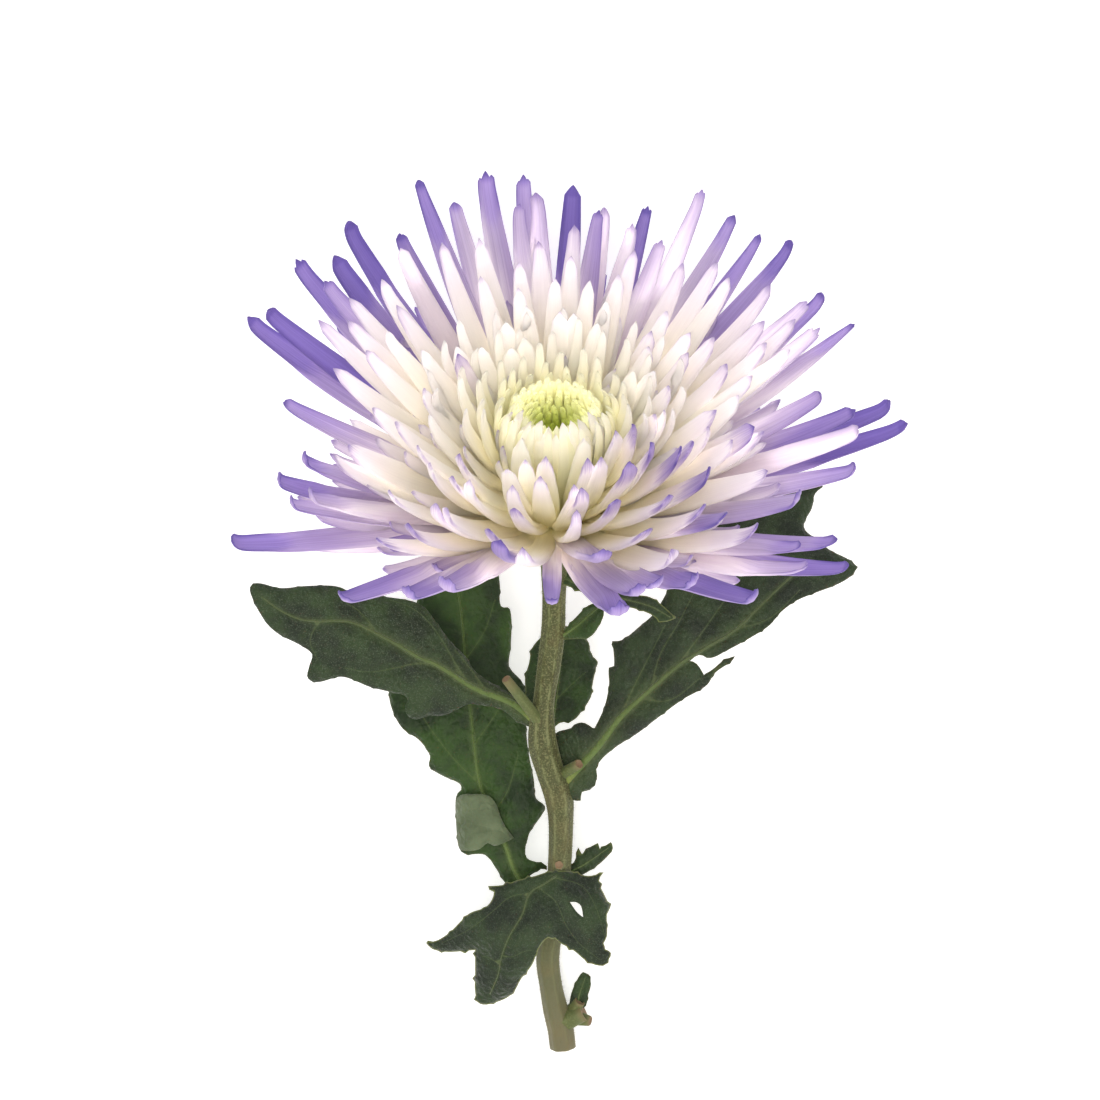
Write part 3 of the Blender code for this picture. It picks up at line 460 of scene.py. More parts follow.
# How a leaf is built: its height over the table (height at base and tip, arch, fold, wave in millimetres, and
# waves), the half widths of its veins in pixels, and its tones: how lively, how fuzzy, how pale at the edge
Leaf = namedtuple("Leaf", "node name slot outline veins base tip rise ribs tones")
LEAVES = (
    Leaf("leaf_left", "blade_left", "leaf", LEFT_LEAF, LEFT_VEINS,
         (530, 722), (252, 588), (25.6, 40, 2, -9, 1.2, 2.5), (8.0, 0.8, 0.9), (0.25, 1.0, 0.0)),
    Leaf("leaf_back", "blade_back", "leaf", BACK_LEAF, BACK_VEINS,
         (548, 904), (446, 512), (12.4, 17, 3, -10, 1.2, 2.5), (5.0, 1.0, 1.5), (1.0, 0.1, 0.2)),
    Leaf("leaf_right", "blade_right", "leaf", RIGHT_LEAF, RIGHT_VEINS,
         (566, 775), (858, 567), (21.8, 34, 6, -10, 1.2, 2.5), (9.0, 0.9, 1.1), (0.1, 0.6, 0.2)),
    Leaf("leaf_rear", "blade_rear", "leaf", REAR_LEAF, REAR_VEINS,
         (547, 729), (560, 626), (22.6, 19, -1, -4, 0.5, 1.5), (2.0, 0.5, 0.9), (0.7, 0.3, 0.6)),
    Leaf("leaf_lower", "blade_lower", "leaf", LOWER_LEAF, LOWER_VEINS,
         (562, 868), (492, 1003), (17.6, 11, 6, -7, 0.5, 2), (1.5, 0.6, 0.6), (0.15, 0.8, 1.0)),
    Leaf("leaf_side", "blade_side", "leaf", SIDE_LEAF, SIDE_VEINS,
         (568, 874), (612, 843), (13.6, 16.5, 0, 0, 0, 1), (1.6, 0.5, 0.5), (0.3, 0.4, 0.4)),
    Leaf("bract_upper", "bract_upper_skin", "bract", UPPER_BRACT, UPPER_VEINS,
         (558, 638), (603, 606), (31, 36, 1, 4, 0, 1), (4.0, 1.2, 0.5), (0.9, 0.6, 0.3)),
    Leaf("bract_outer", "bract_outer_skin", "bract", OUTER_BRACT, OUTER_VEINS,
         (556, 574), (676, 618), (37, 41, 2, 6, 0, 1), (2.0, 0.7, 0.5), (0.3, 0.5, 0.8)),
    Leaf("leaf_sprout", "sprout_skin", "bract", SPROUT_LEAF, SPROUT_VEINS,
         (578, 1008), (584, 973), (5, 9, 0, 3, 0, 1), (1.4, 0.5, 0.5), (0.4, 0.3, 0.2)),
)


def middle_value(low, high, share):
    """The value at a share of the way between two values."""
    return low + (high - low) * share


def read_curve(points, place):
    """The value of a curve of straight runs at a place along it."""
    for (start, low), (end, high) in zip(points, points[1:]):
        if place <= end:
            return middle_value(low, high, max(0.0, (place - start) / (end - start)))
    return points[-1][1]


def ease(share):
    """A share from 0 to 1, with a soft start and end."""
    share = np.clip(share, 0.0, 1.0)
    return share * share * (3 - 2 * share)


def scatter(index, channel):
    """A fixed scatter from -1 to 1 for each floret and each of its traits."""
    wave = math.sin(index * 12.9898 + channel * 78.233) * 43758.5453
    return 2 * (wave - math.floor(wave)) - 1


def unit(vectors):
    """The same vectors with length one."""
    return vectors / np.linalg.norm(vectors, axis=-1, keepdims=True)


def pixel_size(height):
    """The real size of one pixel of the photograph at a height above the table."""
    return BLOOM_WIDTH / BLOOM_WIDTH_PX * (LENS_HEIGHT - height) / (LENS_HEIGHT - BLOOM_HEIGHT)


def spot(across, down, height):
    """The point that a pixel of the photograph shows at a height above the table."""
    size = pixel_size(height)
    x = VIEW_X + (across - VIEW_CENTRE_PX) * size
    y = VIEW_Y - (down - VIEW_CENTRE_PX) * size
    return np.stack(np.broadcast_arrays(x, y, height), axis=-1)


# The bloom's own axes: along its axis, to the side, and round to the front
AXIS = unit(np.array((BLOOM_LEAN, math.cos(BLOOM_TILT), math.sin(BLOOM_TILT))))
FRONT = unit(np.cross((1, 0, 0), AXIS))
SIDE = np.cross(AXIS, FRONT)
CENTRE = spot(*BLOOM_CENTRE_PX, BLOOM_HEIGHT)


def outward(azimuth):
    """The direction away from the bloom's axis, in its plane."""
    return SIDE * math.cos(azimuth) + FRONT * math.sin(azimuth)


def bloom_point(radius, azimuth, axial):
    """A point in the bloom's own round coordinates."""
    return CENTRE + outward(azimuth) * radius + AXIS * axial


def bloom_direction(azimuth, rise):
    """The direction of a floret from the receptacle."""
    return outward(azimuth) * math.cos(rise) + AXIS * math.sin(rise)


def reach(rise):
    """How far from the receptacle a floret's tip is at a rise above the bloom's plane."""
    return read_curve(REACH_BY_RISE, math.degrees(rise)) * MM


def round_place(point):
    """A point's azimuth round the bloom's axis and its rise above the bloom's plane."""
    away = point - CENTRE
    axial = away @ AXIS
    flat = away - AXIS * axial
    return math.atan2(flat @ FRONT, flat @ SIDE), math.atan2(axial, np.linalg.norm(flat))


def tip_place(across, down):
    """Where the line of sight through a pixel meets the round surface of the floret tips."""
    best, least = None, None
    for step in range(130, 1, -1):
        point = spot(across, down, step * MM)
        miss = np.linalg.norm(point - CENTRE) - reach(round_place(point)[1])
        if least is None or miss < least:
            best, least = point, miss
        if miss <= 0:
            break
    return best


def resting_tip(azimuth):
    """A tip below the table, whose floret comes to lie on the table."""
    level = CENTRE + outward(azimuth) * RESTING_RADIUS
    return level - AXIS * ((level[2] + RESTING_SINK) / AXIS[2])


def floret_line(tip, bow):
    """Root, bend and tip of a floret, and the direction that its back faces."""
    away = np.linalg.norm(tip - CENTRE)
    azimuth, rise = round_place(tip)
    if rise > STEEPEST_RISE:
        rise = STEEPEST_RISE
        tip = CENTRE + bloom_direction(azimuth, rise) * away
    level = ease(rise / STEEPEST_RISE) * (1 - 0.85 * max(0.0, math.sin(azimuth)) ** 2)
    root_radius = middle_value(RIM_ROOT[0], EYE_ROOT[0], level)
    root = bloom_point(root_radius, azimuth, middle_value(RIM_ROOT[1], EYE_ROOT[1], level))
    chord = tip - root
    back = unit(outward(azimuth) * (chord @ AXIS) - AXIS * (chord @ outward(azimuth)))
    bend = root + chord * 0.5 + back * np.linalg.norm(chord) * bow
    return root, bend, tip, back


class Skin:
    """Points, faces and named attributes of a mesh while its parts are gathered."""

    def __init__(self):
        self.points, self.faces, self.attributes, self.count = [], [], {}, 0

    def add(self, points, faces, **attributes):
        """Add a part whose faces count from its own first point."""
        points = np.asarray(points)
        self.points.append(points)
        self.faces.extend(tuple(corner + self.count for corner in face) for face in faces)
        for name, values in attributes.items():
            values = np.broadcast_to(np.asarray(values, float), points.shape)
            self.attributes.setdefault(name, []).append(values)
        self.count += len(points)

    def build(self, name, material, slot, *nodes):
        """Make the object, which rides on the flower and stands for those nodes of the frame."""
        mesh = bpy.data.meshes.new(name)
        mesh.from_pydata(np.concatenate(self.points).tolist(), [], self.faces)
        for attribute, parts in self.attributes.items():
            layer = mesh.attributes.new(attribute, "FLOAT_VECTOR", "POINT")
            layer.data.foreach_set("vector", np.concatenate(parts).astype(np.float32).ravel())
        mesh.shade_smooth()
        mesh.materials.append(material)
        piece = bpy.data.objects.new(name, mesh)
        bpy.context.scene.collection.objects.link(piece)
        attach(piece, "root")
        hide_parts(*nodes)


def shell_faces(rows, columns):
    """Faces of a closed shell: a grid, the same grid behind it, and the strip that joins their edges."""
    size = rows * columns
    faces = []
    for row in range(rows - 1):
        for column in range(columns - 1):
            corner = row * columns + column
            quad = (corner, corner + 1, corner + columns + 1, corner + columns)
            faces.append(quad)
            faces.append(tuple(point + size for point in reversed(quad)))
    border = list(range(columns))
    border += [row * columns + columns - 1 for row in range(1, rows)]
    border += [(rows - 1) * columns + column for column in range(columns - 2, -1, -1)]
    border += [row * columns for row in range(rows - 2, 0, -1)]
    for near, far in zip(border, border[1:] + border[:1]):
        faces.append((far, near, near + size, far + size))
    return faces


def above_table(height, floor):
    """Heights bent softly so that none is below the floor."""
    over = height - floor
    return floor + (over + np.sqrt(over * over + TABLE_SOFTNESS ** 2)) / 2


def tooth_depth(index, side, form):
    """How far the tip's edge is drawn back across a floret: one notch or two between its teeth."""
    if scatter(index, 11) > 0.3:
        notch = np.exp(-((side - 0.25 * scatter(index, 19)) / 0.2) ** 2)
    else:
        notch = np.exp(-((np.abs(side) - 0.42) / 0.16) ** 2)
    return form.teeth * (0.55 + 0.55 * scatter(index, 12)) * notch


def add_floret(skin, index, plan):
    """Add one floret: a flattened tube, narrow at its root, that opens like a spoon and curls at its tip."""
    form = plan.form
    root, bend, tip, back = plan.line
    length = np.linalg.norm(tip - root)
    half = plan.width / 2
    angle = np.linspace(-math.pi / 2, math.pi / 2, form.columns)
    side, crown = np.sin(angle), np.cos(angle)
    ends = form.round * (1 + 0.25 * scatter(index, 20)) * np.abs(side) ** 1.5
    slant = 0.25 * scatter(index, 13) * side
    tip_half = half * form.tip_share
    drawn_back = (ends + slant + tooth_depth(index, side, form)) * tip_half / length
    end = 1 - np.clip(drawn_back, -0.02, DEEPEST_TOOTH)
    rows = 1 - (1 - np.linspace(0, 1, form.rows)) ** 1.5
    along = rows[:, None] * end[None, :]
    side = np.broadcast_to(side, along.shape)
    crown = np.broadcast_to(crown, along.shape)
    share = along[..., None]

    middle = root * (1 - share) ** 2 + bend * 2 * share * (1 - share) + tip * share ** 2
    heading = unit((bend - root) * (1 - share) + (tip - bend) * share)
    face = unit(heading * (heading @ back)[..., None] - back)
    level = np.array((0.0, 0.0, 1.0)) - heading * heading[..., 2:]
    face = unit(face + level * ease(share / 0.6) * ease((face[..., 2:] + 0.5) / 0.4))
    across = np.cross(heading, face)
    turn = FLORET_TWIST * scatter(index, 1) * ease(share)
    turned = face * np.cos(turn) + across * np.sin(turn)
    across = across * np.cos(turn) - face * np.sin(turn)

    curl = form.curl * (1 + 0.9 * scatter(index, 17)) + 1e-3
    curled = np.clip((share - form.curl_from) / (1 - form.curl_from), 0, 1)
    bent = (1 - form.curl_from) * length
    middle = middle + heading * bent * (np.sin(curl * curled) / curl - curled)
    middle = middle + turned * bent * (1 - np.cos(curl * curled)) / curl
    face = turned * np.cos(curl * curled) - heading * np.sin(curl * curled)

    opened = ease(along / min(WIDENING_SHARE, WIDENING / length))
    near_tip = np.clip((along - form.taper) / (1 - form.taper), 0, 1) ** 1.7
    width = middle_value(ROOT_WIDTH / 2, half, opened) * (1 - (1 - form.tip_share) * near_tip)
    cap = np.sqrt(1 - np.clip((rows - CLOSING_FROM) / (1 - CLOSING_FROM), 0, 0.999) ** 2)[:, None]
    depth = width * middle_value(ROOT_DEPTH, form.flat * (1 + 0.25 * scatter(index, 14)), opened) * cap
    opening = form.opening + form.vary * scatter(index, 15)
    gape = ease((along - opening - 0.05 * side ** 2) / OPENING_RUN)
    ruffle = half * RUFFLE * side ** 2 * np.sin(along * (9 + 4 * scatter(index, 16)) + index) * opened
    lips = width * form.lips * gape * np.abs(side) ** 3 + ruffle
    ribs = form.relief * np.cos(2.5 * math.pi * side) * opened * crown * cap
    front = WALL / 2 + depth * crown * (1 - 2 * gape) + ribs + lips
    rear = -WALL / 2 - depth * crown - ribs + lips
    outer = middle + across * (width * side)[..., None]
    place = outer + face * front[..., None]
    behind = outer + face * rear[..., None]
    place[..., 2] = above_table(place[..., 2], WALL)
    behind[..., 2] = above_table(behind[..., 2], 0.0)

    points = np.concatenate((place.reshape(-1, 3), behind.reshape(-1, 3)))
    under = np.repeat((0.0, 1.0), along.size)
    spots = np.stack((np.tile(along.ravel(), 2), np.tile(side.ravel(), 2), under), axis=1)
    tone = (plan.violet, plan.start, plan.full)
    # The open spoon on the front face, which the shader darkens with painted shade.
    hollow = np.tile(gape.ravel(), 2) * (1 - under)
    seeds = np.stack((np.full(len(points), index), np.full(len(points), plan.green), hollow), axis=1)
    skin.add(points, shell_faces(form.rows, form.columns), place=spots, tone=tone, seed=seeds)


def add_florets(skin, first, plans):
    """Add florets, numbered from the first."""
    for index, plan in enumerate(plans, first):
        add_floret(skin, index, plan)


def front_share(tip):
    """How far a tip lies to the front of the bloom, from 0 to 1."""
    azimuth, _ = round_place(tip)
    return float(ease(math.sin(azimuth) + 0.35))


def warmth(across, down):
    """How warm in colour the floret at a pixel is, by its distance from the eye."""
    return WARMTH * (1 - ease(math.hypot(across - EYE_PX[0], down - EYE_PX[1]) / WARM_PX))


def rim_shades(violet):
    """Where along a rim floret its violet starts and where it is full."""
    start = 0.78 - 0.62 * violet
    return start, start + 0.72 - 0.28 * violet ** 3


def inner_shades(violet, front):
    """The same for an inner floret: soft and long at the back, a small tip in front unless very violet."""
    more = violet ** 3
    start = middle_value(0.78, 0.92, front) - 0.32 * more
    return start, start + middle_value(0.3, 0.13, front) + 0.15 * more


def hidden_floret(tip, violet):
    """A rim floret that the photograph doesn't show."""
    return Floret(floret_line(tip, HIDDEN_BOW), HIDDEN_WIDTH, RIM_FORM, violet, *rim_shades(violet), 0.0)


def rim_plans():
    """The outer florets, with those that the photograph hides and those that rest on the table."""
    plans = []
    for index, (across, down, width, violet) in enumerate(RIM_TIPS):
        tip = tip_place(across, down)
        if down > HOOKED_BELOW_PX:
            tip = tip + (tip - CENTRE) * HOOKED_SHARE
        line = floret_line(tip, RIM_BOW + BOW_SCATTER * scatter(index, 2))
        form = RIM_FORM._replace(tip_share=RIM_FORM.tip_share * min(1.1, width / RIM_WIDTH_PX + 0.15))
        if down < PARTING_PX[1] or abs(across - PARTING_PX[0]) > SLIM_PX:
            width = max(width, RIM_WIDTH_PX)
        plans.append(Floret(line, width * pixel_size(tip[2]), form, violet, *rim_shades(violet), 0.0))
    for first, last, low, high, length, count in HIDDEN_WHORLS:
        for place in range(count):
            azimuth = math.radians(middle_value(first, last, place / (count - 1)))
            rise = math.radians(middle_value(low, high, 0.5 + 0.5 * scatter(len(plans), 4)))
            distance = length * MM * (1 + 0.04 * scatter(len(plans), 5))
            plans.append(hidden_floret(CENTRE + bloom_direction(azimuth, rise) * distance, HIDDEN_VIOLET))
    first, last, count = RESTING_WHORL
    for place in range(count):
        tip = resting_tip(math.radians(middle_value(first, last, place / (count - 1))))
        plans.append(hidden_floret(tip, RESTING_VIOLET))
    return plans


def inner_plans():
    """The florets inside the rim whose tips the photograph shows."""
    plans = []
    for index, (across, down, violet) in enumerate(INNER_TIPS):
        tip = tip_place(across, down)
        front = front_share(tip)
        bow = middle_value(INNER_BOW, FRONT_BOW, front) + BOW_SCATTER * scatter(index, 2)
        away = math.hypot(across - PARTING_PX[0], down - PARTING_PX[1])
        wide = max(ease(away / WIDE_FROM_PX), ease((down - PARTING_PX[1]) / WIDE_BELOW_PX))
        width = middle_value(NARROW_PX, INNER_WIDTH_PX, wide) * (1 + 0.1 * scatter(index, 3))
        width *= (1 - 0.2 * ease((NARROW_ABOVE_PX - down) / NARROWING_PX)) * pixel_size(tip[2])
        blunt = ease((violet - 0.5) / 0.4)
        form = INNER_FORM._replace(
            tip_share=middle_value(INNER_FORM.tip_share, RIM_FORM.tip_share, blunt),
            round=middle_value(INNER_FORM.round, RIM_FORM.round, blunt),
        )
        shades = inner_shades(violet, front)
        plans.append(Floret(floret_line(tip, bow), width, form, violet, *shades, warmth(across, down)))
    return plans


def rim_reach(across, down):
    """How far from the bloom's middle the rim's tips are, in pixels, in the direction of a pixel."""
    middle = complex(*BLOOM_CENTRE_PX)
    wanted = complex(across, down) - middle
    furthest = NEAREST_RIM_PX
    for tip_across, tip_down, _, _ in RIM_TIPS:
        away = complex(tip_across, tip_down) - middle
        if abs(cmath.phase(away / wanted)) < RIM_WINDOW:
            furthest = max(furthest, abs(away))
    return furthest


def pixel_of(point):
    """The pixel of the photograph that shows a point."""
    size = pixel_size(point[2])
    return VIEW_CENTRE_PX + (point[0] - VIEW_X) / size, VIEW_CENTRE_PX - (point[1] - VIEW_Y) / size


def fill_plans():
    """Shorter florets, spread by the golden angle, that close the bloom below the visible tips."""
    plans = []
    for place in range(FILL_COUNT):
        azimuth = place * GOLDEN_ANGLE
        rise = math.radians(middle_value(*FILL_RISES, place / FILL_COUNT))
        direction = bloom_direction(azimuth, rise)
        if direction[2] > math.cos(PARTING):
            continue
        share = middle_value(*FILL_REACH, 0.5 + 0.5 * scatter(place, 21))
        tip = CENTRE + direction * reach(rise) * share
        across, down = pixel_of(tip)
        distance = math.hypot(across - BLOOM_CENTRE_PX[0], down - BLOOM_CENTRE_PX[1])
        limit = FILL_LIMIT * rim_reach(across, down)
        if distance > limit:
            share *= limit / distance
            tip = CENTRE + direction * reach(rise) * share
        if share < FILL_LEAST:
            continue
        front = front_share(tip)
        violet = middle_value(0.15, 0.3, front)
        shades = inner_shades(violet, front)
        if rise < LOW_FILL_RISE:
            violet = LOW_FILL_VIOLET
            shades = rim_shades(violet)
        line = floret_line(tip, middle_value(INNER_BOW, FRONT_BOW, front))
        width = FILL_WIDTH * (1 + 0.15 * scatter(place, 22))
        form = INNER_FORM._replace(opening=CROWN_FORM.opening, vary=0.0, **FILL_GRID)
        plans.append(Floret(line, width, form, violet, *shades, warmth(across, down)))
    return plans


def crown_plans():
    """Short pale florets that curl in round the eye."""
    plans = []
    for level, (rise, length, width, count) in enumerate(CROWN_WHORLS):
        green = middle_value(0.42, 0.06, level / (len(CROWN_WHORLS) - 1))
        for place in range(count):
            index = CROWN_NUMBERS * level + place
            azimuth = 2 * math.pi * (place + 0.5 * (level % 2) + 0.15 * scatter(index, 4)) / count
            if level > 1 and math.sin(azimuth) > math.cos(CROWN_GAP):
                continue
            direction = bloom_direction(azimuth, math.radians(rise + 1.8 * scatter(index, 5)))
            tip = CENTRE + direction * length * MM * (1 + 0.04 * scatter(index, 6))
            front = front_share(tip)
            wide = width * MM * middle_value(0.8, 1.0, front)
            line = floret_line(tip, CROWN_BOW)
            plans.append(Floret(line, wide, CROWN_FORM, 0.1 * front, 0.9, 1.1, green))
    return plans


def ring_line(radii, azimuth, height):
    """Root, bend, tip and back of a floret in a ring round the axis, by its radii at root, belly and tip."""
    base = CORE_TOP + CLEARANCE
    root_radius, belly, tip_radius = radii
    root = bloom_point(root_radius * MM, azimuth, base + EYE_DEPTH * 0.15)
    bend = bloom_point((2 * belly - (root_radius + tip_radius) / 2) * MM, azimuth, (base + height) * 0.53)
    return root, bend, bloom_point(tip_radius * MM, azimuth, height), outward(azimuth)


def hood_plans():
    """The pale florets that hood the front of the eye."""
    plans = []
    for *radii, top, width, count, spread in HOOD_RINGS:
        for place in range(count):
            index = FIRST_HOOD + len(plans)
            turned = 2 * (place + 0.5 + 0.2 * scatter(index, 6)) / count - 1
            azimuth = math.pi / 2 + math.radians(spread) * turned
            line = ring_line(radii, azimuth, top * MM * (1 + 0.03 * scatter(index, 7)))
            plans.append(Floret(line, width * MM, CROWN_FORM, 0.15, 0.88, 1.08, 0.22))
    return plans


def eye_plans():
    """The young florets of the eye, greener towards its middle."""
    plans = []
    for level, (*radii, top, width, count) in enumerate(EYE_RINGS):
        green = middle_value(0.5, 1.0, level / (len(EYE_RINGS) - 1))
        for place in range(count):
            index = FIRST_EYE + len(plans)
            azimuth = level * GOLDEN_ANGLE + 2 * math.pi * (place + 0.15 * scatter(index, 6)) / count
            line = ring_line(radii, azimuth, top * MM * (1 + 0.025 * scatter(index, 7)))
            plans.append(Floret(line, width * MM, BUD_FORM, 0.0, 1.0, 1.1, green))
    return plans


def add_turned(skin, profile, sides, **attributes):
    """Add a round solid on the bloom's axis, from radius and axial place pairs."""
    points, faces = [], []
    for radius, axial in profile:
        points += [bloom_point(radius, 2 * math.pi * side / sides, axial) for side in range(sides)]
    for level in range(len(profile) - 1):
        for side in range(sides):
            near = level * sides + side
            far = level * sides + (side + 1) % sides
            faces.append((near, far, far + sides, near + sides))
    faces.append(tuple(range(sides))[::-1])
    faces.append(tuple(range(len(points) - sides, len(points))))
    if profile[-1][1] < profile[0][1]:
        faces = [face[::-1] for face in faces]
    skin.add(points, faces, **attributes)


def make_bloom(material):
    """The heart of the bloom and all long florets on it, by kind."""
    heart = Skin()
    profile = [
        (CORE_RADIUS * 0.5, CORE_BOTTOM),
        (CORE_RADIUS * 0.93, CORE_BOTTOM * 0.8),
        (CORE_RADIUS, CORE_BOTTOM * 0.4),
        (CORE_RADIUS, CORE_TOP * 0.5),
        (CORE_TOP_RADIUS * 1.05, CORE_TOP * 0.9),
        (CORE_TOP_RADIUS * 0.9, CORE_TOP),
    ]
    add_turned(heart, profile, ROUND_SIDES, place=(0.2, 0, 0), tone=(0, 1, 1.1), seed=(0, 0.1, 0))
    heart.build("bloom_heart", material, "floret", "bloom")
    for name, kinds in (
        ("florets_rim", ((FIRST_RIM, rim_plans()),)),
        ("florets_inner", ((FIRST_INNER, inner_plans()),)),
        ("florets_fill", ((FIRST_FILL, fill_plans()),)),
        ("florets_crown", ((FIRST_CROWN, crown_plans()), (FIRST_HOOD, hood_plans()))),
    ):
        skin = Skin()
        for first, plans in kinds:
            add_florets(skin, first, plans)
        skin.build(name, material, "floret", "bloom")


def make_eye(material):
    """The young green florets in the middle, on their own small dome."""
    skin = Skin()
    profile = []
    for angle in np.linspace(0, math.pi / 2, DOME_LEVELS):
        radius = EYE_RADIUS * max(0.08, math.cos(angle))
        profile.append((radius, CORE_TOP + CLEARANCE + EYE_DEPTH * math.sin(angle)))
    add_turned(skin, profile, DOME_SIDES, place=(0.05, 0, 0), tone=(0, 1, 1.1), seed=(0, 1.0, 0))
    add_florets(skin, FIRST_EYE, eye_plans())
    skin.build("florets_eye", material, "eye", "bloom_eye")


def srgb(red, green, blue):
    """A colour named by its screen values from 0 to 255, as the linear values that a shader takes."""
    linear = []
    for value in (red, green, blue):
        value /= 255
        linear.append(value / 12.92 if value <= 0.04045 else ((value + 0.055) / 1.055) ** 2.4)
    return (*linear, 1.0)


class Recipe:
    """A material's nodes: each method adds nodes and gives back an output. Colours are screen values."""

    def __init__(self, name, roughness):
        self.material = bpy.data.materials.new(name)
        self.material.use_nodes = True
        self.tree = self.material.node_tree
        self.shader = self.tree.nodes["Principled BSDF"]
        self.shader.inputs["Roughness"].default_value = roughness

    def feed(self, socket, value):
        """Set a socket to a plain value or link it to an output."""
        if isinstance(value, bpy.types.NodeSocket):
            self.tree.links.new(value, socket)
        else:
            socket.default_value = value

    def add(self, kind, values=(), **settings):
        """Add a node with its settings and its first inputs."""
        node = self.tree.nodes.new(kind)
        for name, setting in settings.items():
            setattr(node, name, setting)
        for socket, value in zip(node.inputs, values):
            self.feed(socket, value)
        return node

    def attribute(self, name):
        """The three values of a mesh attribute."""
        source = self.add("ShaderNodeAttribute", attribute_name=name)
        return self.add("ShaderNodeSeparateXYZ", (source.outputs["Vector"],)).outputs

    def maths(self, operation, *values):
        """A sum on one or two values."""
        return self.add("ShaderNodeMath", values, operation=operation).outputs[0]

    def times(self, product, *values):
        """The product of some values."""
        for value in values:
            product = self.maths("MULTIPLY", product, value)
        return product

    def plus(self, total, *values):
        """The sum of some values."""
        for value in values:
            total = self.maths("ADD", total, value)
        return total

    def smooth(self, value, low, high):
        """A soft step from 0 at low to 1 at high."""
        return self.add("ShaderNodeMapRange", (value, low, high), interpolation_type="SMOOTHSTEP").outputs[0]

    def noise(self, vector, scale, detail=2.0):
        """A noise from 0 to 1."""
        return self.texture("ShaderNodeTexNoise", Vector=vector, Scale=scale, Detail=detail).outputs[0]

    def texture(self, kind, **inputs):
        """Add a node with some of its inputs by name."""
        node = self.add(kind)
        for name, value in inputs.items():
            self.feed(node.inputs[name], value)
        return node

    def fine_lines(self, along, aside, seed, scale, detail):
        """A noise stretched along a floret, other for each seed."""
        return self.noise(self.add("ShaderNodeCombineXYZ", (along, aside, seed)).outputs[0], scale, detail)

    def mix(self, share, first, second, blend="MIX"):
        """A blend of two colours."""
        node = self.add("ShaderNodeMix", data_type="RGBA", blend_type=blend)
        self.feed(node.inputs[0], share)
        for place, colour in ((6, first), (7, second)):
            self.feed(node.inputs[place], srgb(*colour) if isinstance(colour, tuple) else colour)
        return node.outputs[2]

    def ramp(self, value, *stops):
        """Colours by place along a ramp."""
        node = self.add("ShaderNodeValToRGB", (value,))
        elements = node.color_ramp.elements
        while len(elements) < len(stops):
            elements.new(0.5)
        for element, (position, *colour) in zip(elements, stops):
            element.position = position
            element.color = srgb(*colour)
        return node.outputs[0]

    def relief(self, height, strength, distance):
        """Bump from a height."""
        node = self.texture("ShaderNodeBump", Strength=strength, Distance=distance, Height=height)
        self.tree.links.new(node.outputs[0], self.shader.inputs["Normal"])

    def finish(self, colour, **sockets):
        """Give the shader its colour and the values that are the same all over."""
        self.feed(self.shader.inputs["Base Color"], colour)
        for name, value in sockets.items():
            self.shader.inputs[name.replace("_", " ")].default_value = value
        return self.material


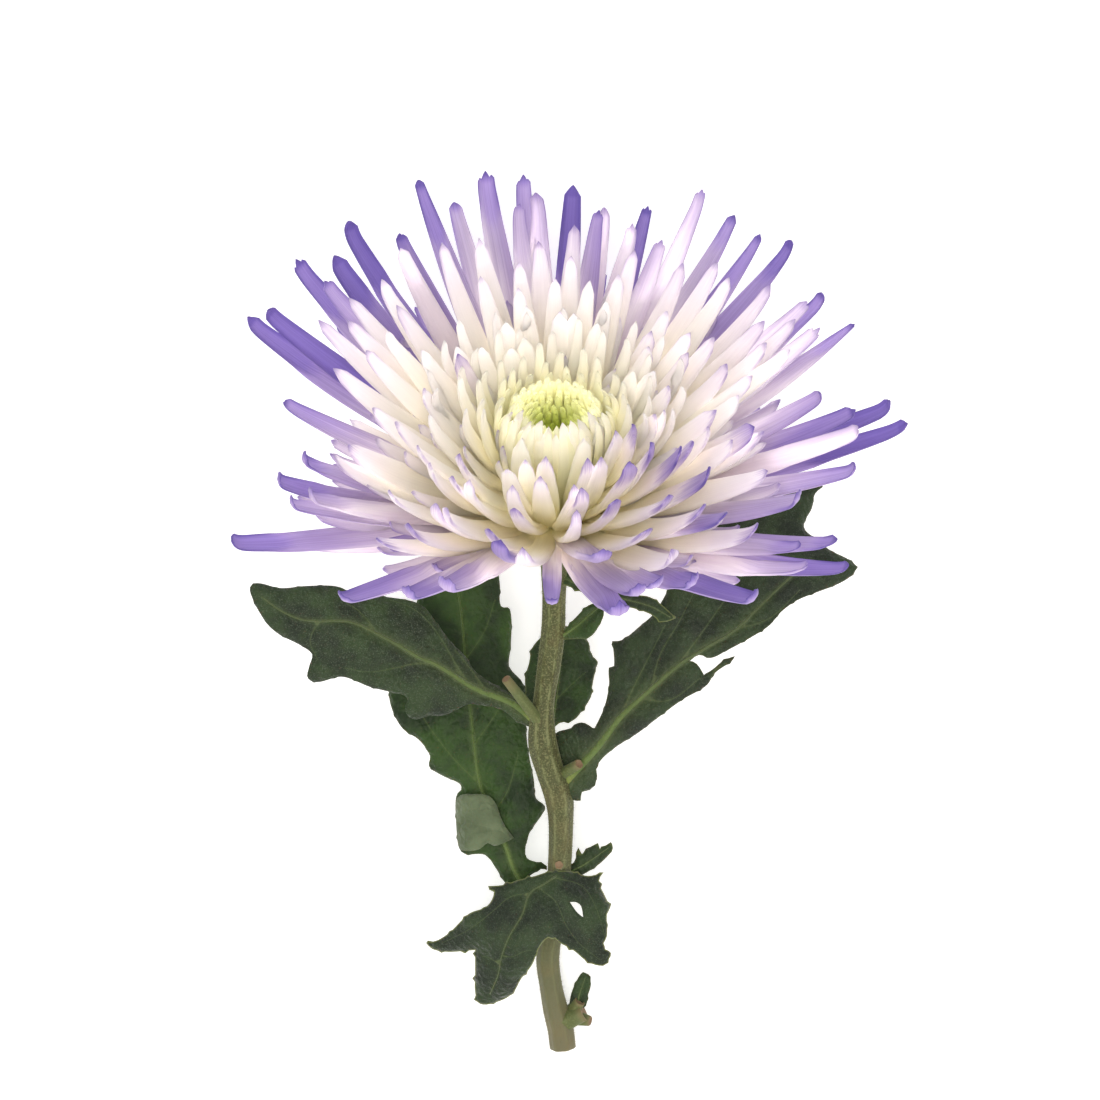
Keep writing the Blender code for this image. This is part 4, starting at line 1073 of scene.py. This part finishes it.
def floret_finish():
    """White florets, cream towards the root and violet at the tip, with fine lines along them and painted
    shade.
    """
    recipe = Recipe("floret_finish", 0.55)
    along, aside, _ = recipe.attribute("place")
    violet, start, full = recipe.attribute("tone")
    seed, green, hollow = recipe.attribute("seed")
    streak = recipe.fine_lines(recipe.times(along, 2.5), recipe.times(aside, 3.0), seed, 1.6, 3.0)
    line = recipe.fine_lines(recipe.times(along, 1.2), recipe.times(aside, 9.0), seed, 1.4, 2.0)

    # Olive at the very root: the floret's greenish base, darkened as painted shade where the roots crowd
    # together.
    pale = recipe.ramp(
        along, (0.0, 168, 162, 84), (0.09, 226, 214, 146), (0.2, 255, 243, 200), (0.55, 254, 247, 229),
        (0.85, 250, 244, 239),
    )
    young = recipe.ramp(along, (0.0, 222, 217, 128), (0.5, 232, 230, 170), (0.9, 240, 238, 202))
    youngest = recipe.ramp(along, (0.0, 148, 164, 40), (0.6, 178, 191, 70), (1.0, 204, 211, 112))
    base = recipe.mix(recipe.smooth(green, 0.0, 0.55), pale, young)
    base = recipe.mix(recipe.smooth(green, 0.55, 0.95), base, youngest)
    core = recipe.times(recipe.smooth(green, 0.85, 1.0), 0.7)
    base = recipe.mix(core, base, (134, 148, 28))
    spread = recipe.smooth(recipe.maths("SUBTRACT", full, start), 0.3, 0.7)
    # Mauve over the rim florets' middles: partly their own tint, partly painted shade.
    mauve_and_shade = recipe.times(recipe.smooth(along, 0.1, 0.45), spread, 0.8)
    base = recipe.mix(mauve_and_shade, base, (212, 195, 204))
    near = recipe.smooth(along, recipe.plus(start, -0.3), recipe.plus(start, 0.25))
    blush = recipe.times(near, recipe.smooth(violet, 0.0, 0.6), 0.8)
    base = recipe.mix(blush, base, (222, 206, 228))

    wander = recipe.times(recipe.plus(streak, -0.5), 0.22)
    lean = recipe.times(recipe.maths("SINE", recipe.times(seed, 2.4)), spread, 0.2, aside)
    depth = recipe.times(recipe.smooth(recipe.plus(along, wander, lean), start, full), violet)
    edge = recipe.maths("POWER", recipe.maths("ABSOLUTE", aside), 5.0)
    edge = recipe.maths("MAXIMUM", edge, recipe.smooth(along, 0.955, 1.0))
    edge = recipe.times(edge, recipe.smooth(along, 0.8, 0.95), recipe.smooth(violet, 0.0, 0.4), 0.4)
    # Deeper violet inside a floret's open spoon is painted shade in that hollow.
    depth = recipe.plus(depth, edge, recipe.times(hollow, depth, 0.25))
    tinted = recipe.ramp(
        recipe.times(depth, 0.76), (0.0, 250, 246, 246), (0.16, 232, 220, 232), (0.36, 213, 197, 223),
        (0.58, 190, 171, 214), (0.78, 158, 138, 200), (1.0, 112, 95, 171),
    )
    colour = recipe.mix(recipe.smooth(depth, 0.0, 0.25), base, tinted)
    vivid = recipe.smooth(depth, 0.15, 0.6)
    # Fine lines along the floret are its veins; on the violet part they are drawn darker as painted shade.
    shade = recipe.times(recipe.smooth(line, 0.3, 0.75), recipe.plus(recipe.times(vivid, 0.3), 0.08))
    colour = recipe.mix(shade, colour, (196, 182, 204), "MULTIPLY")
    glow = recipe.plus(recipe.times(vivid, -0.6), 0.95)
    recipe.feed(recipe.shader.inputs["Subsurface Weight"], glow)
    recipe.relief(line, 0.2, 0.3 * MM)
    recipe.shader.subsurface_method = "BURLEY"
    return recipe.finish(
        colour,
        Subsurface_Scale=4.6 * MM,
        Subsurface_Radius=(1.0, 0.97, 0.84),
        Specular_IOR_Level=0.2,
        Sheen_Weight=0.1,
        Sheen_Roughness=0.5,
        Sheen_Tint=(1.0, 0.94, 0.84, 1.0),
    )


def smooth_line(points, step, closed=False):
    """Points at an even step along a smooth curve through some points, sharp only where they turn back."""
    points = np.asarray(points, float)
    if closed:
        before, after = np.roll(points, 1, axis=0), np.roll(points, -1, axis=0)
        ends = after
    else:
        before = np.concatenate((points[:1], points[:-1]))
        after = np.concatenate((points[1:], points[-1:]))
        ends = points[1:]
    arriving, leaving = points - before, after - points
    turn = (arriving * leaving).sum(axis=1)
    turn = turn / (np.linalg.norm(arriving, axis=1) * np.linalg.norm(leaving, axis=1) + 1e-12)
    chord = after - before
    tangents = chord / (np.linalg.norm(chord, axis=1, keepdims=True) + 1e-12)
    if closed:
        tangents[turn < 0.1] = 0
    found = []
    for number, (start, end) in enumerate(zip(points, ends)):
        length = np.linalg.norm(end - start)
        pull = tangents[number] * length
        push = tangents[(number + 1) % len(points)] * length
        pieces = max(1, int(round(length / step)))
        for piece in range(pieces):
            share = piece / pieces
            square, cube = share ** 2, share ** 3
            place = start * (2 * cube - 3 * square + 1) + end * (3 * square - 2 * cube)
            found.append(place + pull * (cube - 2 * square + share) + push * (cube - square))
    if not closed:
        found.append(points[-1])
    return np.array(found)


def inside_outline(places, outline):
    """Which places lie inside an outline."""
    inside = np.zeros(len(places), bool)
    across, down = places[:, 0], places[:, 1]
    for (x0, y0), (x1, y1) in zip(outline, np.roll(outline, -1, axis=0)):
        if y0 != y1:
            crosses = (y0 > down) != (y1 > down)
            inside ^= crosses & (across < (x1 - x0) * (down - y0) / (y1 - y0) + x0)
    return inside


def line_distance(places, line):
    """How far places are from a line, and how far along it the nearest point is, from 0 to 1."""
    starts, runs = line[:-1], line[1:] - line[:-1]
    away = places[:, None, :] - starts[None]
    share = np.clip((away * runs).sum(axis=-1) / (runs ** 2).sum(axis=-1), 0, 1)
    gaps = np.linalg.norm(away - share[..., None] * runs, axis=-1)
    nearest = gaps.argmin(axis=1)
    rows = np.arange(len(places))
    return gaps[rows, nearest], (nearest + share[rows, nearest]) / len(starts)


def leaf_height(leaf, places):
    """The height of a leaf over the table at the pixels that show it."""
    base_height, tip_height, arch, fold, wave, waves = leaf.rise
    base = np.array(leaf.base, float)
    axis = np.array(leaf.tip, float) - base
    length = np.linalg.norm(axis)
    axis /= length
    away = places - base
    share = away @ axis / length
    aside = (away[:, 1] * axis[0] - away[:, 0] * axis[1]) / length
    inner = np.clip(share, 0, 1)
    rib = middle_value(base_height, tip_height, share) + arch * 4 * inner * (1 - inner)
    phase = 2 * math.pi * waves * share + np.where(aside > 0, WAVE_OFFSET, 0)
    ripple = wave * np.sin(phase) * np.minimum(1, np.abs(aside) * 5)
    return (rib + fold * np.abs(aside) + ripple) * MM


def vein_lines(leaf):
    """A leaf's veins as smooth lines, each with its half width in pixels at its start and its end."""
    lines = []
    for number, vein in enumerate(leaf.veins):
        widths = (leaf.ribs[0], leaf.ribs[1]) if number == 0 else (leaf.ribs[2] * 0.8, leaf.ribs[2] * 0.3)
        lines.append((smooth_line(vein, VEIN_STEP_PX), widths))
    return lines


def vein_ratio(places, lines):
    """How far places are from the nearest vein, in half widths of that vein and in pixels."""
    ratio = np.full(len(places), 1e3)
    nearest = np.full(len(places), 1e3)
    for number, (line, (thick, thin)) in enumerate(lines):
        gaps, share = line_distance(places, line)
        faintest = 0.0 if number == 0 else FAINT_VEIN
        ratio = np.minimum(ratio, np.maximum(faintest, gaps / middle_value(thick, thin, np.sqrt(share))))
        nearest = np.minimum(nearest, gaps)
    return ratio, nearest


def closed_loop(outline):
    """An outline with its first point again at its end."""
    return np.concatenate((outline, outline[:1]))


def leaf_grid(outline, lines, hole):
    """Places over a leaf and their triangles, with edges along its margin and its veins."""
    places = list(outline)
    edges = [(place, (place + 1) % len(places)) for place in range(len(places))]
    loops = [outline]
    if hole is not None:
        first = len(places)
        places += list(hole)
        edges += [(first + place, first + (place + 1) % len(hole)) for place in range(len(hole))]
        loops.append(hole)
    for line, _ in lines:
        gaps, _ = line_distance(line, closed_loop(outline))
        kept = line[inside_outline(line, outline) & (gaps > 2)].tolist()
        first = len(places)
        places += kept
        edges += [(first + place, first + place + 1) for place in range(len(kept) - 1)]
    spacing = LEAF_SPACING_PX
    low, high = outline.min(axis=0), outline.max(axis=0)
    rows = np.arange(low[1], high[1], spacing * 0.87)
    columns = np.arange(low[0], high[0], spacing)
    grid = []
    for number, row in enumerate(rows):
        grid += [(column + spacing * 0.5 * (number % 2), row) for column in columns]
    grid = np.array(grid)
    grid = grid[inside_outline(grid, outline)]
    for loop in loops:
        gaps, _ = line_distance(grid, closed_loop(loop))
        grid = grid[gaps > spacing * 0.55]
    for line, _ in lines:
        gaps, _ = line_distance(grid, line)
        grid = grid[gaps > spacing * 0.5]
    places += list(grid)
    flat, _, triangles, *_ = delaunay_2d_cdt([Vector(place) for place in places], edges, [], 1, 1e-4)
    flat = np.array([tuple(place) for place in flat])
    triangles = np.array([triangle for triangle in triangles if len(triangle) == 3])
    middles = flat[triangles].mean(axis=1)
    kept = inside_outline(middles, outline)
    if hole is not None:
        kept &= ~inside_outline(middles, hole)
    return flat, triangles[kept]


def add_blade(skin, leaf, outline, lines, hole=None, lift=None, under=0.0):
    """Add a leaf's blade, or a piece of it that is lifted off and turned over."""
    flat, triangles = leaf_grid(outline, lines, hole)
    ratio, vein_gap = vein_ratio(flat, lines)
    margin, _ = line_distance(flat, closed_loop(outline))
    height = leaf_height(leaf, flat)
    if lift is not None:
        height = height + lift(flat)
    at_margin = np.exp(-(margin / DROOP_PX) ** 2)
    swell = (SWELL * (1 - np.exp(-(vein_gap / SWELL_PX) ** 2)) - VEIN_SINK) * (1 - at_margin)
    swell -= DROOP * at_margin
    half = LEAF_THICKNESS / 2 * (0.4 + 0.6 * ease(margin / THIN_PX))
    middle = spot(*flat.T, height)
    middle[:, 2] += LEAF_LIFT * BLADE_SEAT
    upper, lower = middle.copy(), middle.copy()
    upper[:, 2] += swell + half
    lower[:, 2] += swell - half
    count = len(flat)
    faces = [tuple(triangle) for triangle in triangles.tolist()]
    faces += [tuple(corner + count for corner in reversed(triangle)) for triangle in triangles.tolist()]
    sides = set()
    for triangle in triangles.tolist():
        sides.update(zip(triangle, triangle[1:] + triangle[:1]))
    for start, end in sorted(sides):
        if (end, start) not in sides:
            faces.append((end, start, start + count, end + count))
    first, second, third = middle[triangles[0]]
    if np.cross(second - first, third - first)[2] < 0:
        faces = [face[::-1] for face in faces]
    sides_under = np.repeat((under, 1.0 - under), count)
    spots = np.stack((np.tile(ratio, 2), np.tile(margin, 2), sides_under), axis=1)
    skin.add(np.concatenate((upper, lower)), faces, place=spots, tone=leaf.tones)


def add_rib(skin, leaf, line, widths):
    """Add a leaf's main rib, a tapering round cord sunk in the blade."""
    share = np.linspace(0, 1, len(line))
    heights = leaf_height(leaf, line)
    radii = middle_value(widths[0], widths[1], np.sqrt(share)) * pixel_size(heights) * RIB_ROUND
    middle = spot(*line.T, heights + LEAF_LIFT * BLADE_SEAT - radii * RIB_SINK)
    points, faces, spots = tube_parts(np.column_stack((middle, radii)), *LEAF_RIB_TUBE)
    near_base = np.array([place[0] for place in spots]) - 1
    spots = np.stack((near_base, np.full(len(points), 9.0), np.zeros(len(points))), axis=1)
    skin.add(points, faces, place=spots, tone=leaf.tones)


def toothed(outline, spiny):
    """An outline with a small tooth every few points, longer on a spiny leaf."""
    along = np.roll(outline, -1, axis=0) - np.roll(outline, 1, axis=0)
    away = unit(np.stack((along[:, 1], -along[:, 0]), axis=1))
    if inside_outline((outline + away)[:1], outline)[0]:
        away = -away
    length = np.array([1 + 0.6 * scatter(place, 41) for place in range(len(outline))])
    length *= TOOTH_PX * middle_value(0.3, 1.0, spiny)
    length[np.arange(len(outline)) % TOOTH_STEP > 0] = 0
    return outline + away * length[:, None]


def flap_lift(places):
    """How far the flap stands off the back leaf, most in its middle."""
    sides = [across for across, _ in BACK_FLAP]
    share = (places[:, 0] - min(sides)) / (max(sides) - min(sides))
    return (0.5 + 2.4 * np.sin(math.pi * np.clip(share * 0.9 + 0.05, 0, 1))) * MM


def make_leaf(leaf, material):
    """One leaf with its veins, and the hole or the fold that the photograph shows in it."""
    skin = Skin()
    outline = toothed(smooth_line(leaf.outline, LEAF_SPACING_PX, closed=True), leaf.tones[2])
    lines = vein_lines(leaf)
    hole = smooth_line(LOWER_HOLE, 2, closed=True) if leaf.node == "leaf_lower" else None
    add_blade(skin, leaf, outline, lines, hole)
    add_rib(skin, leaf, *lines[0])
    if leaf.node == "leaf_back":
        flap = smooth_line(BACK_FLAP, LEAF_SPACING_PX, closed=True)
        fold = smooth_line(FLAP_LINE, VEIN_STEP_PX)
        add_blade(skin, leaf, flap, [(fold, FLAP_LINE_HALVES)], lift=flap_lift, under=1.0)
    skin.build(leaf.name, material, leaf.slot, leaf.node)


def line_point(across, down, height, radius):
    """A point with its radius, from a pixel and two measures in millimetres."""
    return np.append(spot(across, down, height * MM), radius * MM)


def stem_points():
    """The stem's middle line and radii, from the cup under the bloom to the cut end."""
    line = [np.append(CENTRE + AXIS * (CORE_BOTTOM - CUP_DEPTH), NECK_RADIUS)]
    line += [line_point(*place) for place in STEM_LINE]
    return smooth_line(line, 0.9 * MM)


def tube_parts(line, sides, ribs, rib_depth, cut_depth):
    """A ribbed tube along points with a radius, closed by a slightly hollow cut face at its end."""
    points, faces, spots = [], [], []
    middle, radii = line[:, :3], line[:, 3]
    headings = unit(np.gradient(middle, axis=0))
    last = len(line) - 1
    rings = [(place, 1.0, 0.0) for place in range(len(line))]
    rings.append((last, 0.88, 0.1 * radii[last]))
    rings += [(last, scale, -cut_depth) for scale in (0.6, 0.25, 0.04)]
    for number, (place, scale, sink) in enumerate(rings):
        heading = headings[place]
        across = np.cross(heading, (0.0, 0.0, 1.0))
        if np.linalg.norm(across) < 0.1:
            across = np.cross(heading, (1.0, 0.0, 0.0))
        across = unit(across)
        lift = np.cross(across, heading)
        for side in range(sides):
            angle = 2 * math.pi * side / sides
            wave = math.cos(ribs * angle - RIB_TURN + 0.01 * place)
            radius = radii[place] * scale * (1 + rib_depth * wave)
            corner = middle[place] + heading * sink
            corner = corner + (across * math.cos(angle) + lift * math.sin(angle)) * radius
            corner[2] = max(corner[2], 0.0)
            points.append(corner)
            spots.append((place / last, wave, 0.0 if number <= last else 1.0 - scale))
    for level in range(len(rings) - 1):
        for side in range(sides):
            near = level * sides + side
            far = level * sides + (side + 1) % sides
            faces.append((near, near + sides, far + sides, far))
    faces.append(tuple(range(sides)))
    faces.append(tuple(range(len(points) - sides, len(points)))[::-1])
    return points, faces, spots


def cup_place(azimuth, depth, lift):
    """A point on the cup, or a little off it, at a share of its depth."""
    axial = CORE_BOTTOM - CLEARANCE - CUP_DEPTH * depth
    return bloom_point(read_curve(CUP_CURVE, depth) + lift, azimuth, axial)


def add_scale(skin, azimuth, root, tip, stand):
    """Add one pointed scale that lies on the cup."""
    rows, columns = SCALE_GRID
    outer, inner, spots = [], [], []
    for row in range(rows):
        share = row / (rows - 1)
        half = math.pi / SCALES * 1.15 * math.sqrt(1 - 0.98 * share ** 2.5)
        for column in range(columns):
            side = 2 * column / (columns - 1) - 1
            turned = azimuth + half * side
            depth = middle_value(root, tip, share * (1 - 0.12 * abs(side)))
            lift = (stand * share ** 2 + 0.5 * (1 - side ** 2) * (1 - 0.5 * share)) * MM
            outer.append(cup_place(turned, depth, lift))
            inner.append(cup_place(turned, depth, lift - SCALE_THICKNESS))
            spots.append((6 * abs(side), 4 * (1 - abs(side)), 0.0))
    spots += [(ratio, margin, 1.0) for ratio, margin, _ in spots]
    skin.add(outer + inner, shell_faces(rows, columns), place=spots, tone=(0.8, 0.5, 0.5))


def make_scales(material):
    """Three rows of scales round the cup."""
    skin = Skin()
    for row, (root, tip, stand) in enumerate(SCALE_ROWS):
        for place in range(SCALES):
            index = SCALES * row + place
            azimuth = 2 * math.pi * (place + 0.5 * (row % 2) + 0.1 * scatter(index, 8)) / SCALES
            add_scale(skin, azimuth, root, tip + 0.06 * scatter(index, 9), stand)
    skin.build("cup_scales", material, "stem", "stem")


def add_hairs(skin, line):
    """Add fine hairs that stand on a tube's skin."""
    headings = unit(np.gradient(line[:, :3], axis=0))
    for hair in range(HAIRS):
        place = int((hair + 0.5) / HAIRS * (len(line) - 2))
        heading = headings[place]
        across = unit(np.cross(heading, (0.0, 0.0, 1.0)))
        lift = np.cross(across, heading)
        angle = hair * GOLDEN_ANGLE
        away = across * math.cos(angle) + lift * math.sin(angle)
        share = 0.5 + 0.5 * scatter(hair, 31)
        middle = middle_value(line[place, :3], line[place + 1, :3], share)
        root = middle + away * line[place, 3] * 0.97
        length = HAIR_LENGTH * (1 + 0.4 * scatter(hair, 32))
        leaning = away + heading * 0.7 * scatter(hair, 33) + across * 0.3 * scatter(hair, 34)
        tip = root + unit(leaning) * length
        tip[2] = max(tip[2], 0.0)
        up = heading * HAIR_RADIUS
        aside = np.cross(heading, away) * HAIR_RADIUS
        points = [root + up, root - up + aside, root - up - aside, tip]
        skin.add(points, HAIR_FACES, place=(place / len(line), 1.0, 0.0), tone=(0, 0, 0))


def make_stem(material):
    """The ribbed stem with its hairs, its cut side shoots and the cup."""
    skin = Skin()
    line = stem_points()
    points, faces, spots = tube_parts(line, *STEM_TUBE)
    skin.add(points, faces, place=spots, tone=(0, 0, 0))
    add_hairs(skin, line)
    top = CORE_BOTTOM - CLEARANCE
    profile = [(radius, top - CUP_DEPTH * depth) for depth, radius in CUP_CURVE[1:]]
    add_turned(skin, profile, ROUND_SIDES, place=(0.0, 0.4, 0.0), tone=(0, 0, 0))
    for root, end, root_radius, end_radius in STUBS:
        start = line_point(*root, root_radius)
        finish = line_point(*end, end_radius)
        line = smooth_line((start, middle_value(start, finish, 0.5), finish), 0.5 * MM)
        points, faces, spots = tube_parts(line, *STUB_TUBE)
        skin.add(points, faces, place=spots, tone=(1, 0, 0))
    skin.build("stem_skin", material, "stem", "stem")


def leaf_finish():
    """Dark green leaves, dull with fine hairs, paler below, along their veins and at some edges."""
    recipe = Recipe("leaf_finish", 0.55)
    ratio, margin, under = recipe.attribute("place")
    lively, fuzzy, rimmed = recipe.attribute("tone")
    where = recipe.add("ShaderNodeTexCoord").outputs["Object"]
    patches = recipe.noise(where, 150, 6.0)
    grain = recipe.noise(where, 1400, 4.0)
    fibres = recipe.noise(where, 3800, 2.0)
    cells = recipe.texture("ShaderNodeTexVoronoi", Vector=where, Scale=560)
    cells.feature = "DISTANCE_TO_EDGE"
    cell_edge = cells.outputs["Distance"]

    blotches = recipe.smooth(patches, 0.34, 0.66)
    dull = recipe.mix(blotches, (21, 33, 17), (43, 60, 32))
    fresh = recipe.mix(blotches, (23, 45, 9), (48, 77, 22))
    colour = recipe.mix(lively, dull, fresh)
    # Darker where the small domes of the blade meet: painted shade in the creases between them.
    colour = recipe.mix(recipe.times(recipe.smooth(cell_edge, 0.2, 0.0), 0.12), colour, (30, 42, 22))
    colour = recipe.mix(recipe.times(recipe.smooth(fibres, 0.52, 0.7), fuzzy, 0.3), colour, (112, 126, 104))
    colour = recipe.mix(recipe.times(recipe.smooth(ratio, 4.0, 1.0), 0.14), colour, (98, 116, 66))
    vein = recipe.times(recipe.smooth(ratio, 1.4, 0.4), 0.75)
    colour = recipe.mix(vein, colour, recipe.mix(lively, (90, 103, 66), (80, 102, 46)))
    smooth_leaf = recipe.smooth(rimmed, 1.0, 0.4)
    petiole = recipe.times(recipe.smooth(ratio, -0.35, -0.9), smooth_leaf)
    colour = recipe.mix(petiole, colour, (99, 120, 62))
    clasp = recipe.times(recipe.smooth(ratio, -0.94, -1.0), smooth_leaf)
    colour = recipe.mix(clasp, colour, (132, 146, 74))
    edge = recipe.times(recipe.smooth(margin, 1.6, 0.3), rimmed, 0.6)
    colour = recipe.mix(edge, colour, (140, 150, 84))
    pale = recipe.mix(recipe.smooth(patches, 0.3, 0.7), (84, 98, 68), (108, 122, 90))
    pale = recipe.mix(vein, pale, (128, 138, 100))
    colour = recipe.mix(recipe.times(under, 0.9), colour, pale)
    domes = recipe.smooth(cell_edge, 0.0, 0.45)
    recipe.relief(recipe.plus(recipe.times(grain, 0.7), recipe.times(domes, 0.6)), 0.7, 0.5 * MM)
    return recipe.finish(
        colour,
        Subsurface_Weight=0.05,
        Subsurface_Scale=MM,
        Specular_IOR_Level=0.3,
        Sheen_Weight=0.2,
        Sheen_Roughness=0.5,
    )


def stem_finish():
    """Olive stem with pale broken ribs, dark specks and a paler cut face."""
    recipe = Recipe("stem_finish", 0.6)
    along, wave, cut = recipe.attribute("place")
    stub, _, _ = recipe.attribute("tone")
    where = recipe.add("ShaderNodeTexCoord").outputs["Object"]
    stretched = recipe.texture("ShaderNodeMapping", Vector=where, Scale=(1.0, 0.28, 1.0)).outputs[0]
    specks = recipe.noise(stretched, 900, 3.0)
    grains = recipe.noise(where, 2600, 2.0)
    patches = recipe.noise(where, 160, 2.0)
    base = recipe.ramp(
        along, (0.0, 96, 108, 60), (0.12, 84, 93, 50), (0.5, 86, 93, 53), (0.85, 103, 105, 72),
        (1.0, 111, 107, 78),
    )
    young = recipe.smooth(along, 0.95, 0.45)
    dark = recipe.times(recipe.smooth(specks, 0.48, 0.66), young, 0.55)
    colour = recipe.mix(dark, base, (66, 66, 28))
    groove = recipe.times(recipe.smooth(wave, 0.4, -0.9), young, 0.35)
    colour = recipe.mix(groove, colour, (64, 66, 30))
    colour = recipe.mix(recipe.times(recipe.smooth(grains, 0.5, 0.38), young, 0.5), colour, (62, 58, 26))
    colour = recipe.mix(recipe.times(recipe.smooth(grains, 0.52, 0.66), young, 0.45), colour, (150, 148, 100))
    crest = recipe.times(recipe.smooth(wave, 0.5, 1.0), recipe.plus(young, 0.3))
    crest = recipe.times(crest, recipe.smooth(specks, 0.62, 0.4), 0.4)
    colour = recipe.mix(crest, colour, (146, 150, 104))
    colour = recipe.mix(recipe.times(stub, 0.6), colour, (98, 112, 62))
    colour = recipe.mix(recipe.times(recipe.smooth(patches, 0.5, 0.75), 0.25), colour, (126, 112, 70))
    withered = recipe.times(recipe.smooth(along, 0.7, 1.0), stub, 0.4)
    colour = recipe.mix(withered, colour, (132, 112, 78))
    face = recipe.mix(stub, (196, 190, 148), (140, 116, 88))
    colour = recipe.mix(recipe.smooth(cut, 0.02, 0.2), colour, face)
    recipe.relief(specks, 0.5, 0.4 * MM)
    return recipe.finish(
        colour,
        Subsurface_Weight=0.05,
        Subsurface_Scale=MM,
        Specular_IOR_Level=0.35,
        Sheen_Weight=0.1,
    )


def make_floor():
    """A plain pale floor."""
    bpy.ops.mesh.primitive_plane_add(size=FLOOR_SIZE, location=(0, 0, -FLOOR_GAP))
    floor = bpy.context.object
    floor.name = "floor"
    recipe = Recipe("floor_finish", 0.9)
    floor_material = recipe.finish(
        FLOOR_COLOUR,
        Specular_IOR_Level=0.1,
        Emission_Color=(1, 1, 1, 1),
        Emission_Strength=FLOOR_GLOW,
    )
    floor.data.materials.append(floor_material)


def make_lights():
    """Soft studio light: wide lamps above, at the left, at the right and in front, and a bright room."""
    world = bpy.data.worlds.new("room")
    world.use_nodes = True
    background = world.node_tree.nodes["Background"]
    background.inputs["Color"].default_value = (1, 1, 1, 1)
    background.inputs["Strength"].default_value = ROOM_LIGHT
    bpy.context.scene.world = world
    for name, place, size, power, blue in LAMPS:
        data = bpy.data.lights.new(name, "AREA")
        data.shape = "DISK"
        data.size = size
        data.energy = power
        data.color = (1.0, (1.0 + blue) / 2, blue)
        lamp = bpy.data.objects.new(name, data)
        lamp.location = place
        lamp.rotation_euler = (-Vector(place)).to_track_quat("-Z", "Y").to_euler()
        bpy.context.scene.collection.objects.link(lamp)


def make_camera():
    """The camera, straight above the middle of the photograph."""
    data = bpy.data.cameras.new("camera")
    data.sensor_width = SENSOR_WIDTH
    data.lens = SENSOR_WIDTH * LENS_HEIGHT / (2 * VIEW_CENTRE_PX * pixel_size(0))
    camera = bpy.data.objects.new("camera", data)
    camera.location = (VIEW_X, VIEW_Y, LENS_HEIGHT)
    bpy.context.scene.collection.objects.link(camera)
    bpy.context.scene.camera = camera


floret_material = floret_finish()
make_bloom(floret_material)
make_eye(floret_material)
make_stem(stem_finish())
leaf_material = leaf_finish()
make_scales(leaf_material)
for leaf in LEAVES:
    make_leaf(leaf, leaf_material)
make_floor()
make_lights()
make_camera()
bpy.context.scene.view_settings.view_transform = "Standard"
